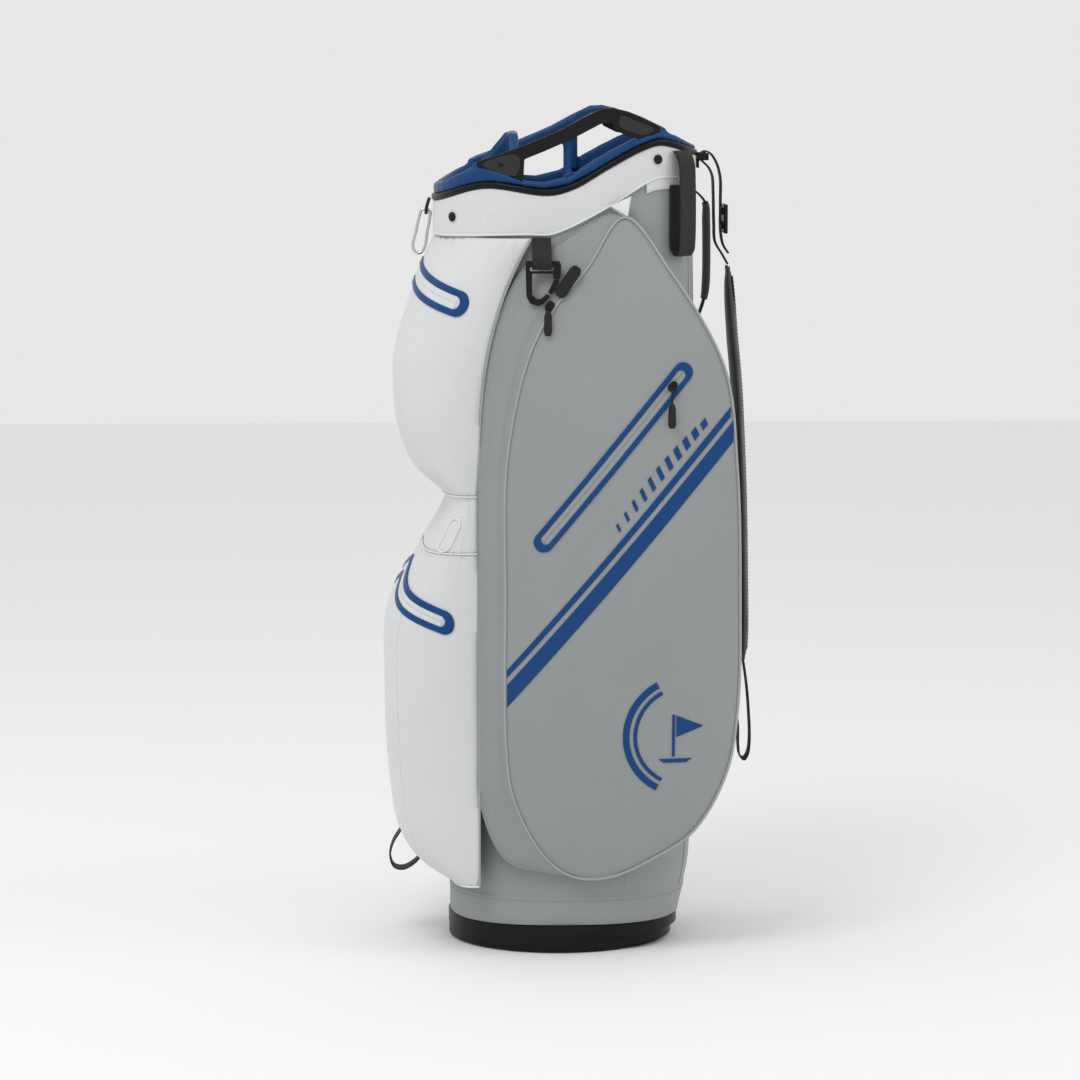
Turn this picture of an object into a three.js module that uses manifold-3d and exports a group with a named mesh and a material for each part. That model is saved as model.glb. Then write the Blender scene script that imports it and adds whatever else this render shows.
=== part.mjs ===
// A cart golf bag: a stiff fabric tube on a moulded foot, with a moulded divider top, pockets all
// round, a shoulder strap and its small hardware. Millimetres, +Z up, the ball pockets face -Y.
import * as THREE from "three";
import { mergeVertices } from "three/addons/utils/BufferGeometryUtils.js";
import Module from "manifold-3d";

const wasm = await Module();
wasm.setup();

// ---- Overall sizes ----
const BAG_H = 890; // floor to the crown of the lift handles
const COLLAR_W = 234; // width of the tube's mouth
const COLLAR_D = 273; // depth of the tube's mouth
const DRAWN = { height: 890, width: 234, depth: 273 }; // sizes the outlines below are drawn at

// ---- Walls, clearances and stock ----
const GAP = 0.4; // between pieces that touch
const SHELL_T = 3; // tube wall
const CUFF_T = 2.6; // cuff wall
const GASKET_H = 6.5;
const RIM_T = 4.5; // wall of the divider top's skirt
const SKIRT_DEPTH = 32;
const BAR_T = 5; // moulded bars between the wells
const BAR_DEPTH = 24;
const BRIDGE_T = 10; // raised bar behind the front wells
const RAIL = 12; // lift handle bar, square
const POST_T = 9;
const GRIP_T = 4;
const SHEET_T = 1.6; // full-length divider sheets
const SLOT_PLAY = 0.4; // each side of a sheet in a slot
const FOOT_H = 30;
const FOOT_FLOOR = 5;
const SPIGOT_T = 3;
const SPIGOT_RISE = 20;
const PAD_T = 7;
const STAY_T = 3;
const STAY_W = 20;
const RIVET_HEAD_R = 5;
const RIVET_SHANK_R = 2;
const RIVET_PLAY = 0.3;
const WEBBING_T = 2;
const STRAP_W = 30;
const TAPE_T = 1.4; // zip tape with its welded border
const SIDE_POCKET_STAND = 5; // the side pocket's edge beyond the collar
const SIDE_POCKET_CROWN = 26;
const SIDE_POCKET_FALL = 9; // how far its back edge is lower than its front edge

const SQUARENESS = 2.5; // exponent of the tube's rounded section
const AROUND = 48; // steps round the tube

const up = (z) => (z * BAG_H) / DRAWN.height;
const along = (y) => (y * COLLAR_D) / DRAWN.depth;
const across = (x) => (x * COLLAR_W) / DRAWN.width;
const V = (x, y, z) => new THREE.Vector3(x, y, z);
const X = V(1, 0, 0);
const Y = V(0, 1, 0);
const Z = V(0, 0, 1);

// A smooth function through [input, value] pairs, level beyond the ends.
function through(pairs) {
  const slope = pairs.map((p, i) => {
    const a = pairs[Math.max(i - 1, 0)];
    const b = pairs[Math.min(i + 1, pairs.length - 1)];
    return (b[1] - a[1]) / (b[0] - a[0]);
  });
  return (t) => {
    if (t <= pairs[0][0]) return pairs[0][1];
    const k = pairs.findIndex((p) => p[0] >= t);
    if (k < 0) return pairs.at(-1)[1];
    const [t0, v0] = pairs[k - 1];
    const [t1, v1] = pairs[k];
    const h = t1 - t0;
    const s = (t - t0) / h;
    return (
      v0 * (1 + 2 * s) * (1 - s) ** 2 +
      v1 * s * s * (3 - 2 * s) +
      h * (slope[k - 1] * s * (1 - s) ** 2 + slope[k] * s * s * (s - 1))
    );
  };
}

// ---- Outlines, at the drawn size: [height, value] or [depth, height] ----
const halfWidthAt = through([[30, 108], [100, 111], [560, 111], [735, 117]]);
const frontAt = through([[30, -117], [100, -117], [560, -117], [735, -131.5]]);
const backAt = through([[30, 127], [100, 140], [560, 142], [735, 141.5]]);
const cuffTopAt = through([
  [-131, 793], [-81, 808], [-17, 801], [11, 808], [45, 828], [79, 846], [102, 852], [142, 839.5],
]);
const cuffLowAt = through([[-131, 757], [-40, 760], [-10, 761], [50, 791], [78, 809], [98, 818], [141, 816.5]]);
const rimTopAt = through([
  [-134, 810], [-90, 830], [-60, 824], [-39, 816], [-4, 817], [20, 831], [46, 846], [100, 867], [140, 852],
]);
const railTopAt = through([
  [-92, 834], [-50, 849], [-4, 868], [38, 889.5], [58, 889], [80, 881.5], [104, 870],
]);
const barTopAt = through([[-130, 806], [-50, 808], [0, 806], [47, 826], [94, 848], [134, 840]]);
const pocketFrontAt = through([
  [73, -117], [91, -149], [112, -168], [147, -180], [299, -188.5], [365, -181.5], [428, -147], [472, -122],
  [488, -126], [515, -156], [558, -174], [601, -177], [641, -174], [708, -154.5], [755, -134],
]);
const pocketHalfWidthAt = through([[73, 113], [147, 118], [484, 118], [735, 121]]);
const pocketSquareness = through([[560, 3.5], [755, 2]]);
const SEAM_Y = -89; // where the white front meets the grey sides
const SEAM_BEND_Z = 484; // above this height the seam swings back
const SEAM_SWING = 54;
const COLLAR_Z = 755; // lower edge of the cuff at the front

const seamAt = (z) => SEAM_Y + SEAM_SWING * Math.max(0, (z - SEAM_BEND_Z) / (COLLAR_Z - SEAM_BEND_Z)) ** 3;

// ---- Surfaces ----
const power = (v, e) => Math.sign(v) * Math.abs(v) ** e;

// The tube's outer section at a drawn height: half width, half depth and middle.
function tubeSection(level) {
  const front = along(frontAt(level));
  const back = along(backAt(level));
  return { a: across(halfWidthAt(level)), b: (back - front) / 2, mid: (back + front) / 2 };
}

// A ring round the tube, moved out by an offset; heightOf gives each point's height from its depth
// on the tube's own face, so rings at any offset keep level with each other.
function tubeRing(level, offset, heightOf = () => level) {
  const { a, b, mid } = tubeSection(level);
  return Array.from({ length: AROUND }, (_, i) => {
    const angle = (2 * Math.PI * i) / AROUND;
    const x = (a + offset) * power(Math.cos(angle), 2 / SQUARENESS);
    const rise = power(Math.sin(angle), 2 / SQUARENESS);
    const height = heightOf(((mid + b * rise) * DRAWN.depth) / COLLAR_D);
    return V(x, mid + (b + offset) * rise, up(height));
  });
}

// Half width of the collar at a depth, at an offset from the tube.
function collarX(y, offset = 0) {
  const { a, b, mid } = tubeSection(COLLAR_Z);
  const share = Math.min(1, Math.abs((y - mid) / (b + offset)));
  return (a + offset) * (1 - share ** SQUARENESS) ** (1 / SQUARENESS);
}

// The white front's outline at a drawn height, from one side seam round to the other.
function frontOutline(z, offset = 0, steps = 26) {
  const w = across(pocketHalfWidthAt(z)) + offset;
  const seam = along(seamAt(z)) + offset;
  const depth = seam - along(pocketFrontAt(z)) + offset;
  const e = 2 / pocketSquareness(z);
  return Array.from({ length: steps + 1 }, (_, i) => {
    const angle = (Math.PI * i) / steps;
    return V(w * power(Math.cos(angle), e), seam - depth * Math.abs(Math.sin(angle)) ** e, up(z));
  });
}

// A point on the white front, by distance from its middle line and drawn height, moved out by an offset.
function frontPoint(distance, z, offset) {
  const half = frontOutline(z, offset, 120).slice(0, 61).reverse();
  let left = Math.abs(distance);
  for (let i = 1; i < half.length; i++) {
    const step = half[i].distanceTo(half[i - 1]);
    if (left <= step || i === half.length - 1) {
      const p = half[i - 1].clone().lerp(half[i], Math.min(1, left / step));
      return V(p.x * Math.sign(distance || 1), p.y, p.z);
    }
    left -= step;
  }
}

// The side pocket's face: how far out it stands at a depth and a drawn height.
const POCKET_MID = { y: 61, z: 432 };
const POCKET_HALF = { y: 123, z: 350 };
function pocketFace(y, z) {
  const t = (y - POCKET_MID.y) / POCKET_HALF.y;
  const w = Math.min(1, Math.abs((z - POCKET_MID.z) / POCKET_HALF.z));
  const swell = SIDE_POCKET_CROWN * (2 - t * t) - SIDE_POCKET_FALL * (1 + t);
  return COLLAR_W / 2 + SIDE_POCKET_STAND + swell * (1 - w * w);
}
const onPocket = (y, z, offset = 0) => V(pocketFace(y, z) + offset, along(y), up(z));

// ---- Mesh making ----
function closedMesh(points, faces) {
  const volume = faces.reduce(
    (sum, [a, b, c]) => sum + points[a].dot(V(0, 0, 0).crossVectors(points[b], points[c])),
    0,
  );
  const geometry = new THREE.BufferGeometry().setFromPoints(points);
  geometry.setIndex(faces.flatMap(([a, b, c]) => (volume < 0 ? [a, c, b] : [a, b, c])));
  return geometry;
}

// Faces across a ring, turned the way the ring runs.
function capFaces(ring, first) {
  const normal = V(0, 0, 0);
  ring.forEach((p, i) => normal.add(V(0, 0, 0).crossVectors(p, ring[(i + 1) % ring.length])));
  const drop = ["x", "y", "z"].sort((p, q) => Math.abs(normal[q]) - Math.abs(normal[p]))[0];
  const [u, v] = { x: ["y", "z"], y: ["z", "x"], z: ["x", "y"] }[drop];
  const flat = ring.map((p) => new THREE.Vector2(p[u], p[v]));
  return THREE.ShapeUtils.triangulateShape(flat, []).map(([a, b, c]) => {
    const turn = flat[b].clone().sub(flat[a]).cross(flat[c].clone().sub(flat[a]));
    const face = turn * normal[drop] > 0 ? [a, b, c] : [a, c, b];
    return face.map((k) => k + first);
  });
}

// A skin over rings of equal length, capped at both ends, or closed on its first ring.
function skin(rings, closed = false) {
  const n = rings[0].length;
  const faces = [];
  for (let r = 0; r < rings.length - (closed ? 0 : 1); r++) {
    const s = ((r + 1) % rings.length) * n;
    for (let i = 0; i < n; i++) {
      const j = (i + 1) % n;
      faces.push([r * n + i, r * n + j, s + j], [r * n + i, s + j, s + i]);
    }
  }
  if (!closed) {
    faces.push(...capFaces(rings[0], 0).map(([a, b, c]) => [a, c, b]));
    faces.push(...capFaces(rings.at(-1), (rings.length - 1) * n));
  }
  return closedMesh(rings.flat(), faces);
}

const flatSection = (width, thickness) => [
  [-width / 2, -thickness / 2],
  [width / 2, -thickness / 2],
  [width / 2, thickness / 2],
  [-width / 2, thickness / 2],
];
const roundSection = (radius, sides = 8) =>
  Array.from({ length: sides }, (_, i) => {
    const angle = (2 * Math.PI * i) / sides;
    return [radius * Math.cos(angle), radius * Math.sin(angle)];
  });

// A section carried along a path; its first axis stays on the given side direction.
function sweep(path, side, section, closed = false) {
  const n = path.length;
  const rings = path.map((p, i) => {
    const before = closed ? path[(i + n - 1) % n] : path[Math.max(i - 1, 0)];
    const after = closed ? path[(i + 1) % n] : path[Math.min(i + 1, n - 1)];
    const tangent = after.clone().sub(before).normalize();
    const u = side.clone().addScaledVector(tangent, -side.dot(tangent)).normalize();
    const v = V(0, 0, 0).crossVectors(tangent, u);
    const shape = typeof section === "function" ? section(i / (n - 1)) : section;
    return shape.map(([s, t]) => p.clone().addScaledVector(u, s).addScaledVector(v, t));
  });
  return skin(rings, closed);
}

const smooth = (points, steps, closed = false) => {
  const list = new THREE.CatmullRomCurve3(points, closed, "centripetal").getSpacedPoints(steps);
  return closed ? list.slice(0, -1) : list;
};
const inYZ = (pairs, x = 0) => pairs.map(([y, z]) => V(x, along(y), up(z)));

// A plate cut from an outline in depth and height, centred at x; holes are outlines too.
function plateAt(outline, thickness, x, holes = []) {
  const shape = new THREE.Shape(outline.map(([y, z]) => new THREE.Vector2(y, z)));
  shape.holes = holes.map((h) => new THREE.Path(h.map(([y, z]) => new THREE.Vector2(y, z))));
  const plate = new THREE.ExtrudeGeometry(shape, { depth: thickness, bevelEnabled: false });
  const basis = new THREE.Matrix4().makeBasis(Y, Z, X);
  return plate.applyMatrix4(basis).translate(x - thickness / 2, 0, 0);
}

const box = (from, to) => {
  const size = to.clone().sub(from);
  const middle = from.clone().add(to).multiplyScalar(0.5);
  return new THREE.BoxGeometry(size.x, size.y, size.z).translate(middle.x, middle.y, middle.z);
};

// ---- Cutting and joining ----
function solidOf(geometry) {
  const bare = new THREE.BufferGeometry().setAttribute("position", geometry.getAttribute("position"));
  bare.setIndex(geometry.index);
  const merged = mergeVertices(bare, 1e-4);
  return new wasm.Manifold(
    new wasm.Mesh({
      numProp: 3,
      vertProperties: merged.attributes.position.array,
      triVerts: new Uint32Array(merged.index.array),
    }),
  );
}

function geometryOf(solid) {
  const mesh = solid.getMesh();
  const geometry = new THREE.BufferGeometry();
  geometry.setAttribute("position", new THREE.BufferAttribute(mesh.vertProperties, 3));
  geometry.setIndex(new THREE.BufferAttribute(mesh.triVerts, 1));
  return geometry;
}

const join = (...parts) => geometryOf(parts.map(solidOf).reduce((a, b) => a.add(b)));
const cut = (part, ...tools) => geometryOf(tools.map(solidOf).reduce((a, b) => a.subtract(b), solidOf(part)));
const common = (part, other) => geometryOf(solidOf(part).intersect(solidOf(other)));

// ---- Materials ----
const finish = (color, roughness, metalness = 0) => ({ color, roughness, metalness });
const FINISH = {
  white: finish(0xdadada, 0.55),
  grey: finish(0x9a9d9c, 0.6),
  blue: finish(0x1e3f6a, 0.45),
  black: finish(0x161616, 0.5),
  rubber: finish(0x0e0e0e, 0.7),
  webbing: finish(0x232323, 0.85),
  pad: finish(0x3a3c3d, 0.8),
  wire: finish(0xb8bcc0, 0.25, 1),
  alloy: finish(0xa0a4a8, 0.4, 1),
  lining: finish(0x30343a, 0.9),
};

const bag = new THREE.Group();
function piece(name, geometry, look, parent = bag) {
  const mesh = new THREE.Mesh(geometry, new THREE.MeshStandardMaterial(FINISH[look]));
  mesh.name = name;
  parent.add(mesh);
}

// Pieces of the two sides: the left one is the right one mirrored.
const SIDES = ["right", "left"].map((side) => {
  const group = new THREE.Group();
  group.scale.x = side === "right" ? 1 : -1;
  bag.add(group);
  return { side, group };
});
const bothSides = (name, geometry, look) =>
  SIDES.forEach(({ side, group }) => piece(`${name}_${side}`, geometry, look, group));

// ---- Foot, base pad ----
const FOOT_HEEL = 10; // the heel lip stands back this far
const FOOT_LIP_Z = 15;
const SPIGOT_OFFSET = -(SHELL_T + GAP);

function footRing(z, halfW, front, back) {
  const b = (back - front) / 2;
  const mid = (back + front) / 2;
  return Array.from({ length: AROUND }, (_, i) => {
    const angle = (2 * Math.PI * i) / AROUND;
    return V(halfW * Math.cos(angle), mid + b * Math.sin(angle), z);
  });
}

function footCup() {
  const { a, b, mid } = tubeSection(0);
  const front = mid - b - 2.5;
  const back = mid + b;
  const halfW = a + 3;
  const cup = skin([
    footRing(0, halfW - 5, front + 4, back - FOOT_HEEL - 3),
    footRing(3, halfW - 1, front + 0.5, back - FOOT_HEEL),
    footRing(FOOT_LIP_Z - 1, halfW - 1, front + 0.5, back - FOOT_HEEL),
    footRing(FOOT_LIP_Z, halfW, front, back),
    footRing(FOOT_H - 2, halfW, front, back),
    footRing(FOOT_H, halfW - 1.5, front + 1.5, back - 0.5),
  ]);
  const spigot = skin(
    [FOOT_FLOOR + 1, FOOT_H + SPIGOT_RISE].map((z) => tubeRing(0, SPIGOT_OFFSET, () => (z * DRAWN.height) / BAG_H)),
  );
  const hollow = skin(
    [FOOT_FLOOR, FOOT_H + SPIGOT_RISE + 1].map((z) =>
      tubeRing(0, SPIGOT_OFFSET - SPIGOT_T, () => (z * DRAWN.height) / BAG_H),
    ),
  );
  return cut(join(cup, spigot), hollow);
}

const PAD_TOP = FOOT_FLOOR + GAP + PAD_T;
function basePad() {
  return skin(
    [FOOT_FLOOR + GAP, PAD_TOP].map((z) =>
      tubeRing(0, SPIGOT_OFFSET - SPIGOT_T - 1, () => (z * DRAWN.height) / BAG_H),
    ),
  );
}

// ---- Tube, cuff, gasket, rivets ----
const TUBE_FOOT = ((FOOT_H + GAP) * DRAWN.height) / BAG_H;
const tubeLevels = [TUBE_FOOT, 62, 100, 330, 560, 650, 735];
const tubeTop = (offset) => tubeRing(COLLAR_Z, offset, (y) => cuffTopAt(y));

function tubeShell() {
  const wall = (offset) => [...tubeLevels.map((z) => tubeRing(z, offset)), tubeTop(offset)];
  return skin([...wall(0), ...wall(-SHELL_T).reverse()], true);
}

// The space a piece outside the tube must stay out of.
const tubeKeepOut = () =>
  skin([tubeRing(0, GAP), tubeRing(30, GAP), ...tubeLevels.slice(1).map((z) => tubeRing(z, GAP)), tubeRing(880, GAP)]);

// The room inside the tube, short of its wall by a clearance.
function tubeRoom(clearance, top = 900) {
  const low = [PAD_TOP + GAP, FOOT_H + SPIGOT_RISE + 1].map((z) => tubeRing(TUBE_FOOT, -clearance, () => lift(z)));
  return skin([...low, ...[62, 100, 330, 560, 650, 735, top].map((z) => tubeRing(z, -clearance))]);
}

const collarBand = (outer, inner, low, high) =>
  skin(
    [
      tubeRing(COLLAR_Z, outer, low),
      tubeRing(COLLAR_Z, outer, high),
      tubeRing(COLLAR_Z, inner, high),
      tubeRing(COLLAR_Z, inner, low),
    ],
    true,
  );

const CUFF_OUT = GAP + CUFF_T;
const lift = (mm) => (mm * DRAWN.height) / BAG_H; // a true height on the drawn scale
const RIVETS = [
  { name: "front", y: -112, z: 778 },
  { name: "rear", y: 96, z: 838 },
];

// A rod square to the collar at a depth, from one offset to another.
function collarRod(y, z, from, to, radius, sides = 12) {
  const base = V(collarX(along(y)), along(y), up(z));
  const step = 0.5;
  const tangent = V(collarX(along(y) + step) - collarX(along(y) - step), 2 * step, 0).normalize();
  const out = V(tangent.y, -tangent.x, 0);
  const ends = [from, to].map((d) => base.clone().addScaledVector(out, d));
  return sweep(ends, Z, roundSection(radius, sides));
}

const rivetHoles = (side) =>
  RIVETS.map(({ y, z }) => {
    const hole = collarRod(y, z, -14, 8, RIVET_SHANK_R + RIVET_PLAY);
    return side === "right" ? hole : mirrored(hole);
  });

function mirrored(geometry) {
  const copy = geometry.clone().scale(-1, 1, 1);
  const index = [...copy.index.array];
  for (let i = 0; i < index.length; i += 3) [index[i + 1], index[i + 2]] = [index[i + 2], index[i + 1]];
  return copy.setIndex(index);
}

const allRivetHoles = () => SIDES.flatMap(({ side }) => rivetHoles(side));

function rivet({ y, z }) {
  const head = collarRod(y, z, CUFF_OUT + GAP, CUFF_OUT + GAP + 2, RIVET_HEAD_R, 16);
  const crown = collarRod(y, z, CUFF_OUT + GAP + 1.5, CUFF_OUT + GAP + 2.8, RIVET_HEAD_R * 0.7, 16);
  const shank = collarRod(y, z, -SHELL_T - GAP - RIM_T - 1, CUFF_OUT + 1, RIVET_SHANK_R);
  return join(head, crown, shank);
}

// ---- Divider top ----
const CROSS_BARS = [-50, 0, 47, 92];
const LONG_BARS = [-36, 36];
const GASKET_TOP = (y) => cuffTopAt(y) + lift(GAP + GASKET_H + GAP);
const RIM_OUT = 2.2;
const RIM_IN = -(SHELL_T + GAP + RIM_T);
const HANDLE_POST_Y = { right: 4, left: 20 };
const BRIDGE_TOP = [[-92, 832], [-70, 846], [-40, 864], [0, 866], [40, 864], [70, 846], [92, 832]];
const FRONT_FIN = [[-122, 786], [-122, 813], [-88, 829], [-72, 845], [-57, 863], [-50, 863], [-50, 786]];

function rimRing() {
  const skirtFoot = (y) => cuffTopAt(y) - lift(SKIRT_DEPTH);
  const top = (inset) => (y) => Math.max(rimTopAt(y), GASKET_TOP(y) + lift(3)) - inset;
  const inTube = -(SHELL_T + GAP);
  const ring = (offset, height) => tubeRing(COLLAR_Z, offset, height);
  return skin(
    [
      ring(inTube, skirtFoot),
      ring(inTube, GASKET_TOP),
      ring(RIM_OUT, GASKET_TOP),
      ring(RIM_OUT, top(2)),
      ring(RIM_OUT - 2, top(0)),
      ring(RIM_IN + 2, top(0)),
      ring(RIM_IN, top(2)),
      ring(RIM_IN, skirtFoot),
    ],
    true,
  );
}

function crossBar(y) {
  const reach = across(130);
  const top = up(barTopAt(y));
  return box(V(-reach, along(y) - BAR_T / 2, top - BAR_DEPTH), V(reach, along(y) + BAR_T / 2, top));
}

function longBar(x, fromY, toY) {
  const steps = 8;
  const ys = Array.from({ length: steps + 1 }, (_, i) => fromY + ((toY - fromY) * i) / steps);
  const top = ys.map((y) => [along(y), up(barTopAt(y))]);
  const low = top.map(([y, z]) => [y, z - BAR_DEPTH]).reverse();
  return plateAt([...top, ...low], BAR_T, across(x));
}

function bridge() {
  const low = up(barTopAt(CROSS_BARS[0])) - BAR_DEPTH;
  const outline = [[-100, 0], ...BRIDGE_TOP, [100, 0]].map(([x, z]) =>
    new THREE.Vector2(across(x), z ? up(z) : low),
  );
  const plate = new THREE.ExtrudeGeometry(new THREE.Shape(outline), { depth: BRIDGE_T, bevelEnabled: false });
  return plate.rotateX(Math.PI / 2).translate(0, along(CROSS_BARS[0]) + BRIDGE_T / 2, 0);
}

const frontFin = (x) => plateAt(FRONT_FIN.map(([y, z]) => [along(y), up(z)]), BAR_T, across(x));

const RAIL_FACE = 4; // the rail's outer face stands this far inside the collar's line
const RAIL_INSET = RAIL_FACE + RAIL / 2;
function handleRail() {
  const ys = Array.from({ length: 17 }, (_, i) => -92 + (196 * i) / 16);
  const path = ys.map((y) => V(collarX(along(y)) - RAIL_INSET, along(y), up(railTopAt(y)) - RAIL / 2));
  return sweep(path, Z, flatSection(RAIL, RAIL));
}

function handlePost(y) {
  const x = collarX(along(y)) - RAIL_INSET;
  const low = up(rimTopAt(y)) - 10;
  const high = up(railTopAt(y)) - 4;
  return box(V(x - POST_T / 2, along(y) - POST_T / 2, low), V(x + 3, along(y) + POST_T / 2, high));
}

// The grip: a bar outside the rail with a plate at each end; [depth, lower edge] stations.
const GRIP_LOW = [
  [-90, 831], [-66, 825], [-42, 816], [-41, 838.5], [-20, 847], [-4, 854], [17, 864], [38, 875], [51, 876],
  [52, 869], [66, 862], [82, 859], [101, 867],
];
// With a clearance it is the grip's seat, which bites a little into the rail and is open above.
const SEAT_BITE = 0.1;
function grip(clearance = 0) {
  const bite = clearance ? SEAT_BITE : 0;
  const above = clearance ? RAIL : 0;
  const innerX = (y) => collarX(along(y)) - RAIL_FACE + GAP;
  const rings = GRIP_LOW.map(([y, low], i) => {
    const x = innerX(y);
    const end = i === 0 ? -clearance : i === GRIP_LOW.length - 1 ? clearance : 0;
    const top = up(railTopAt(y)) + 1 + clearance + above;
    const bottom = up(low) - clearance;
    const inner = x - clearance - bite;
    const outer = x + GRIP_T + clearance;
    return [V(inner, along(y) + end, bottom), V(outer, along(y) + end, bottom), V(outer, along(y) + end, top),
      V(inner, along(y) + end, top)];
  });
  return skin(rings);
}

function gasket(clearance = 0) {
  const low = (y) => cuffTopAt(y) + lift(GAP - clearance);
  const high = (y) => cuffTopAt(y) + lift(GAP + GASKET_H + clearance);
  return collarBand(CUFF_OUT + 1 + clearance, -SHELL_T - clearance, low, high);
}

function dividerTop() {
  const last = CROSS_BARS.at(-1);
  const bars = [
    ...CROSS_BARS.map(crossBar),
    ...LONG_BARS.map((x) => longBar(x, CROSS_BARS[0], last)),
    ...LONG_BARS.map(frontFin),
    longBar(0, last, 140),
    bridge(),
  ];
  const inside = common(join(...bars), tubeRoom(SHELL_T + GAP + RIM_T / 2, 890));
  const rails = SIDES.flatMap(({ side }) => {
    const parts = [handleRail(), handlePost(HANDLE_POST_Y[side])];
    return side === "right" ? parts : parts.map(mirrored);
  });
  const seats = [grip(GAP), mirrored(grip(GAP))];
  return cut(join(rimRing(), inside, ...rails), ...seats, gasket(GAP / 2), ...allRivetHoles());
}

// ---- Stays ----
const STAY_GAP = 1;
const spineStayY = () => along(backAt(100)) - SHELL_T - STAY_GAP - STAY_T;

// ---- Full-length divider sheets, slotted into each other ----
const SHEET_FOOT = PAD_TOP + GAP;
const SHEET_HEAD = 2; // room above the sheets
const SHEET_TOP = up(barTopAt(0)) - BAR_DEPTH - SHEET_HEAD;
const SLOT_END = (SHEET_FOOT + SHEET_TOP) / 2;
const SLOT_W = SHEET_T + 2 * SLOT_PLAY;
const sheetRoom = () => tubeRoom(SHELL_T + GAP + RIM_T + 1);

function crossSheet(y) {
  const reach = across(130);
  const sheet = box(V(-reach, along(y) - SHEET_T / 2, SHEET_FOOT), V(reach, along(y) + SHEET_T / 2, SHEET_TOP));
  const slots = LONG_BARS.map((x) =>
    box(V(across(x) - SLOT_W / 2, along(y) - 5, SLOT_END - SLOT_PLAY), V(across(x) + SLOT_W / 2, along(y) + 5, BAG_H)),
  );
  return common(cut(sheet, ...slots), sheetRoom());
}

function longSheet(x) {
  const back = along(CROSS_BARS.at(-1)) + 6;
  const sheet = box(V(across(x) - SHEET_T / 2, -COLLAR_D, SHEET_FOOT), V(across(x) + SHEET_T / 2, back, SHEET_TOP));
  const slots = CROSS_BARS.map((y) =>
    box(V(across(x) - 5, along(y) - SLOT_W / 2, 0), V(across(x) + 5, along(y) + SLOT_W / 2, SLOT_END + SLOT_PLAY)),
  );
  return common(cut(sheet, ...slots), sheetRoom());
}

function backSheet() {
  const front = along(CROSS_BARS.at(-1)) + SHEET_T / 2 + GAP;
  const sheet = box(V(-SHEET_T / 2, front, SHEET_FOOT), V(SHEET_T / 2, spineStayY() - 2 * GAP, SHEET_TOP));
  return common(sheet, sheetRoom());
}

function spineStay() {
  const y = spineStayY();
  return box(V(-STAY_W / 2, y, up(104)), V(STAY_W / 2, y + STAY_T, up(795)));
}

function sideStay() {
  const x = across(halfWidthAt(100)) - SHELL_T - STAY_GAP - STAY_T;
  const { mid } = tubeSection(330);
  return box(V(x, mid - STAY_W / 2, up(104)), V(x + STAY_T, mid + STAY_W / 2, up(750)));
}

// ---- White front: three pockets, one above another ----
function frontPocket(levels) {
  return cut(skin(levels.map((z) => frontOutline(z))), tubeKeepOut());
}
const LOWER_POCKET = [73, 91, 112, 147, 220, 299, 343, 370, 390, 404, 416, 428];
const WAIST = [428, 450, 472, 488];
const UPPER_POCKET = [488, 500, 515, 536, 558, 601, 641, 675, 708, 730, COLLAR_Z];

// The space the white front fills, with a clearance, from below the pockets to above the cuff.
const frontKeepOut = () =>
  skin([40, ...LOWER_POCKET, ...WAIST.slice(1), ...UPPER_POCKET.slice(1)].map((z) => frontOutline(z, GAP)));

// ---- Side pocket: face outline and where its gusset lands ----
const POCKET_OUTLINE = [
  { face: [63, 779], root: [60, 783] },
  { face: [23, 727], root: [-12, 748] },
  { face: [-7, 692], root: [-45, 722] },
  { face: [-36, 640], root: [-74, 655] },
  { face: [-60, 530], root: [-89, 530] },
  { face: [-62, 384], root: [-90, 384] },
  { face: [-61, 223], root: [-90, 223] },
  { face: [-53, 170], root: [-88, 165] },
  { face: [-23, 111], root: [-60, 103] },
  { face: [8, 86], root: [-10, 88] },
  { face: [50, 85], root: [50, 88] },
  { face: [91, 104], root: [88, 106] },
  { face: [135, 134], root: [124, 138] },
  { face: [170, 195], root: [155, 200] },
  { face: [182, 262], root: [163, 265] },
  { face: [184, 383], root: [165, 385] },
  { face: [180, 520], root: [162, 520] },
  { face: [166, 624], root: [150, 628] },
  { face: [109, 724], root: [104, 730] },
];
const POCKET_ROOT_X = 118;
const POCKET_BACK_ROOT_X = 96;
const POCKET_DEEP = { x: 45, back: 126 };

function outlineOf(key, steps = 44) {
  const points = POCKET_OUTLINE.map((p) => V(0, p[key][0], p[key][1]));
  return smooth(points, steps, true);
}

function sidePocket() {
  const face = outlineOf("face");
  const root = outlineOf("root");
  const middle = V(0, POCKET_MID.y, POCKET_MID.z);
  const rings = [0.3, 0.62, 0.86, 1].map((share) =>
    face.map((p) => {
      const q = middle.clone().lerp(p, share);
      return onPocket(q.y, q.z);
    }),
  );
  const rootX = (y) =>
    THREE.MathUtils.lerp(POCKET_ROOT_X, POCKET_BACK_ROOT_X, THREE.MathUtils.smoothstep(y, 40, 150));
  rings.push(root.map((p) => V(across(rootX(p.y)), along(p.y), up(p.z))));
  rings.push(root.map((p) => V(across(POCKET_DEEP.x), along(Math.min(p.y, POCKET_DEEP.back)), up(p.z))));
  return cut(skin(rings), tubeKeepOut(), frontKeepOut());
}

// ---- Zips ----
const TAPE_LIFT = 1; // under a tape, for the curve of the cloth
const SIDE_ZIP = { low: [-23, 445], high: [122, 620], half: 10.3 };
const SLIDER = { length: 12, width: 9, height: 4.4 };
const SLIDER_LIFT = 1.2; // over a tape, for the curve of the track

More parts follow.
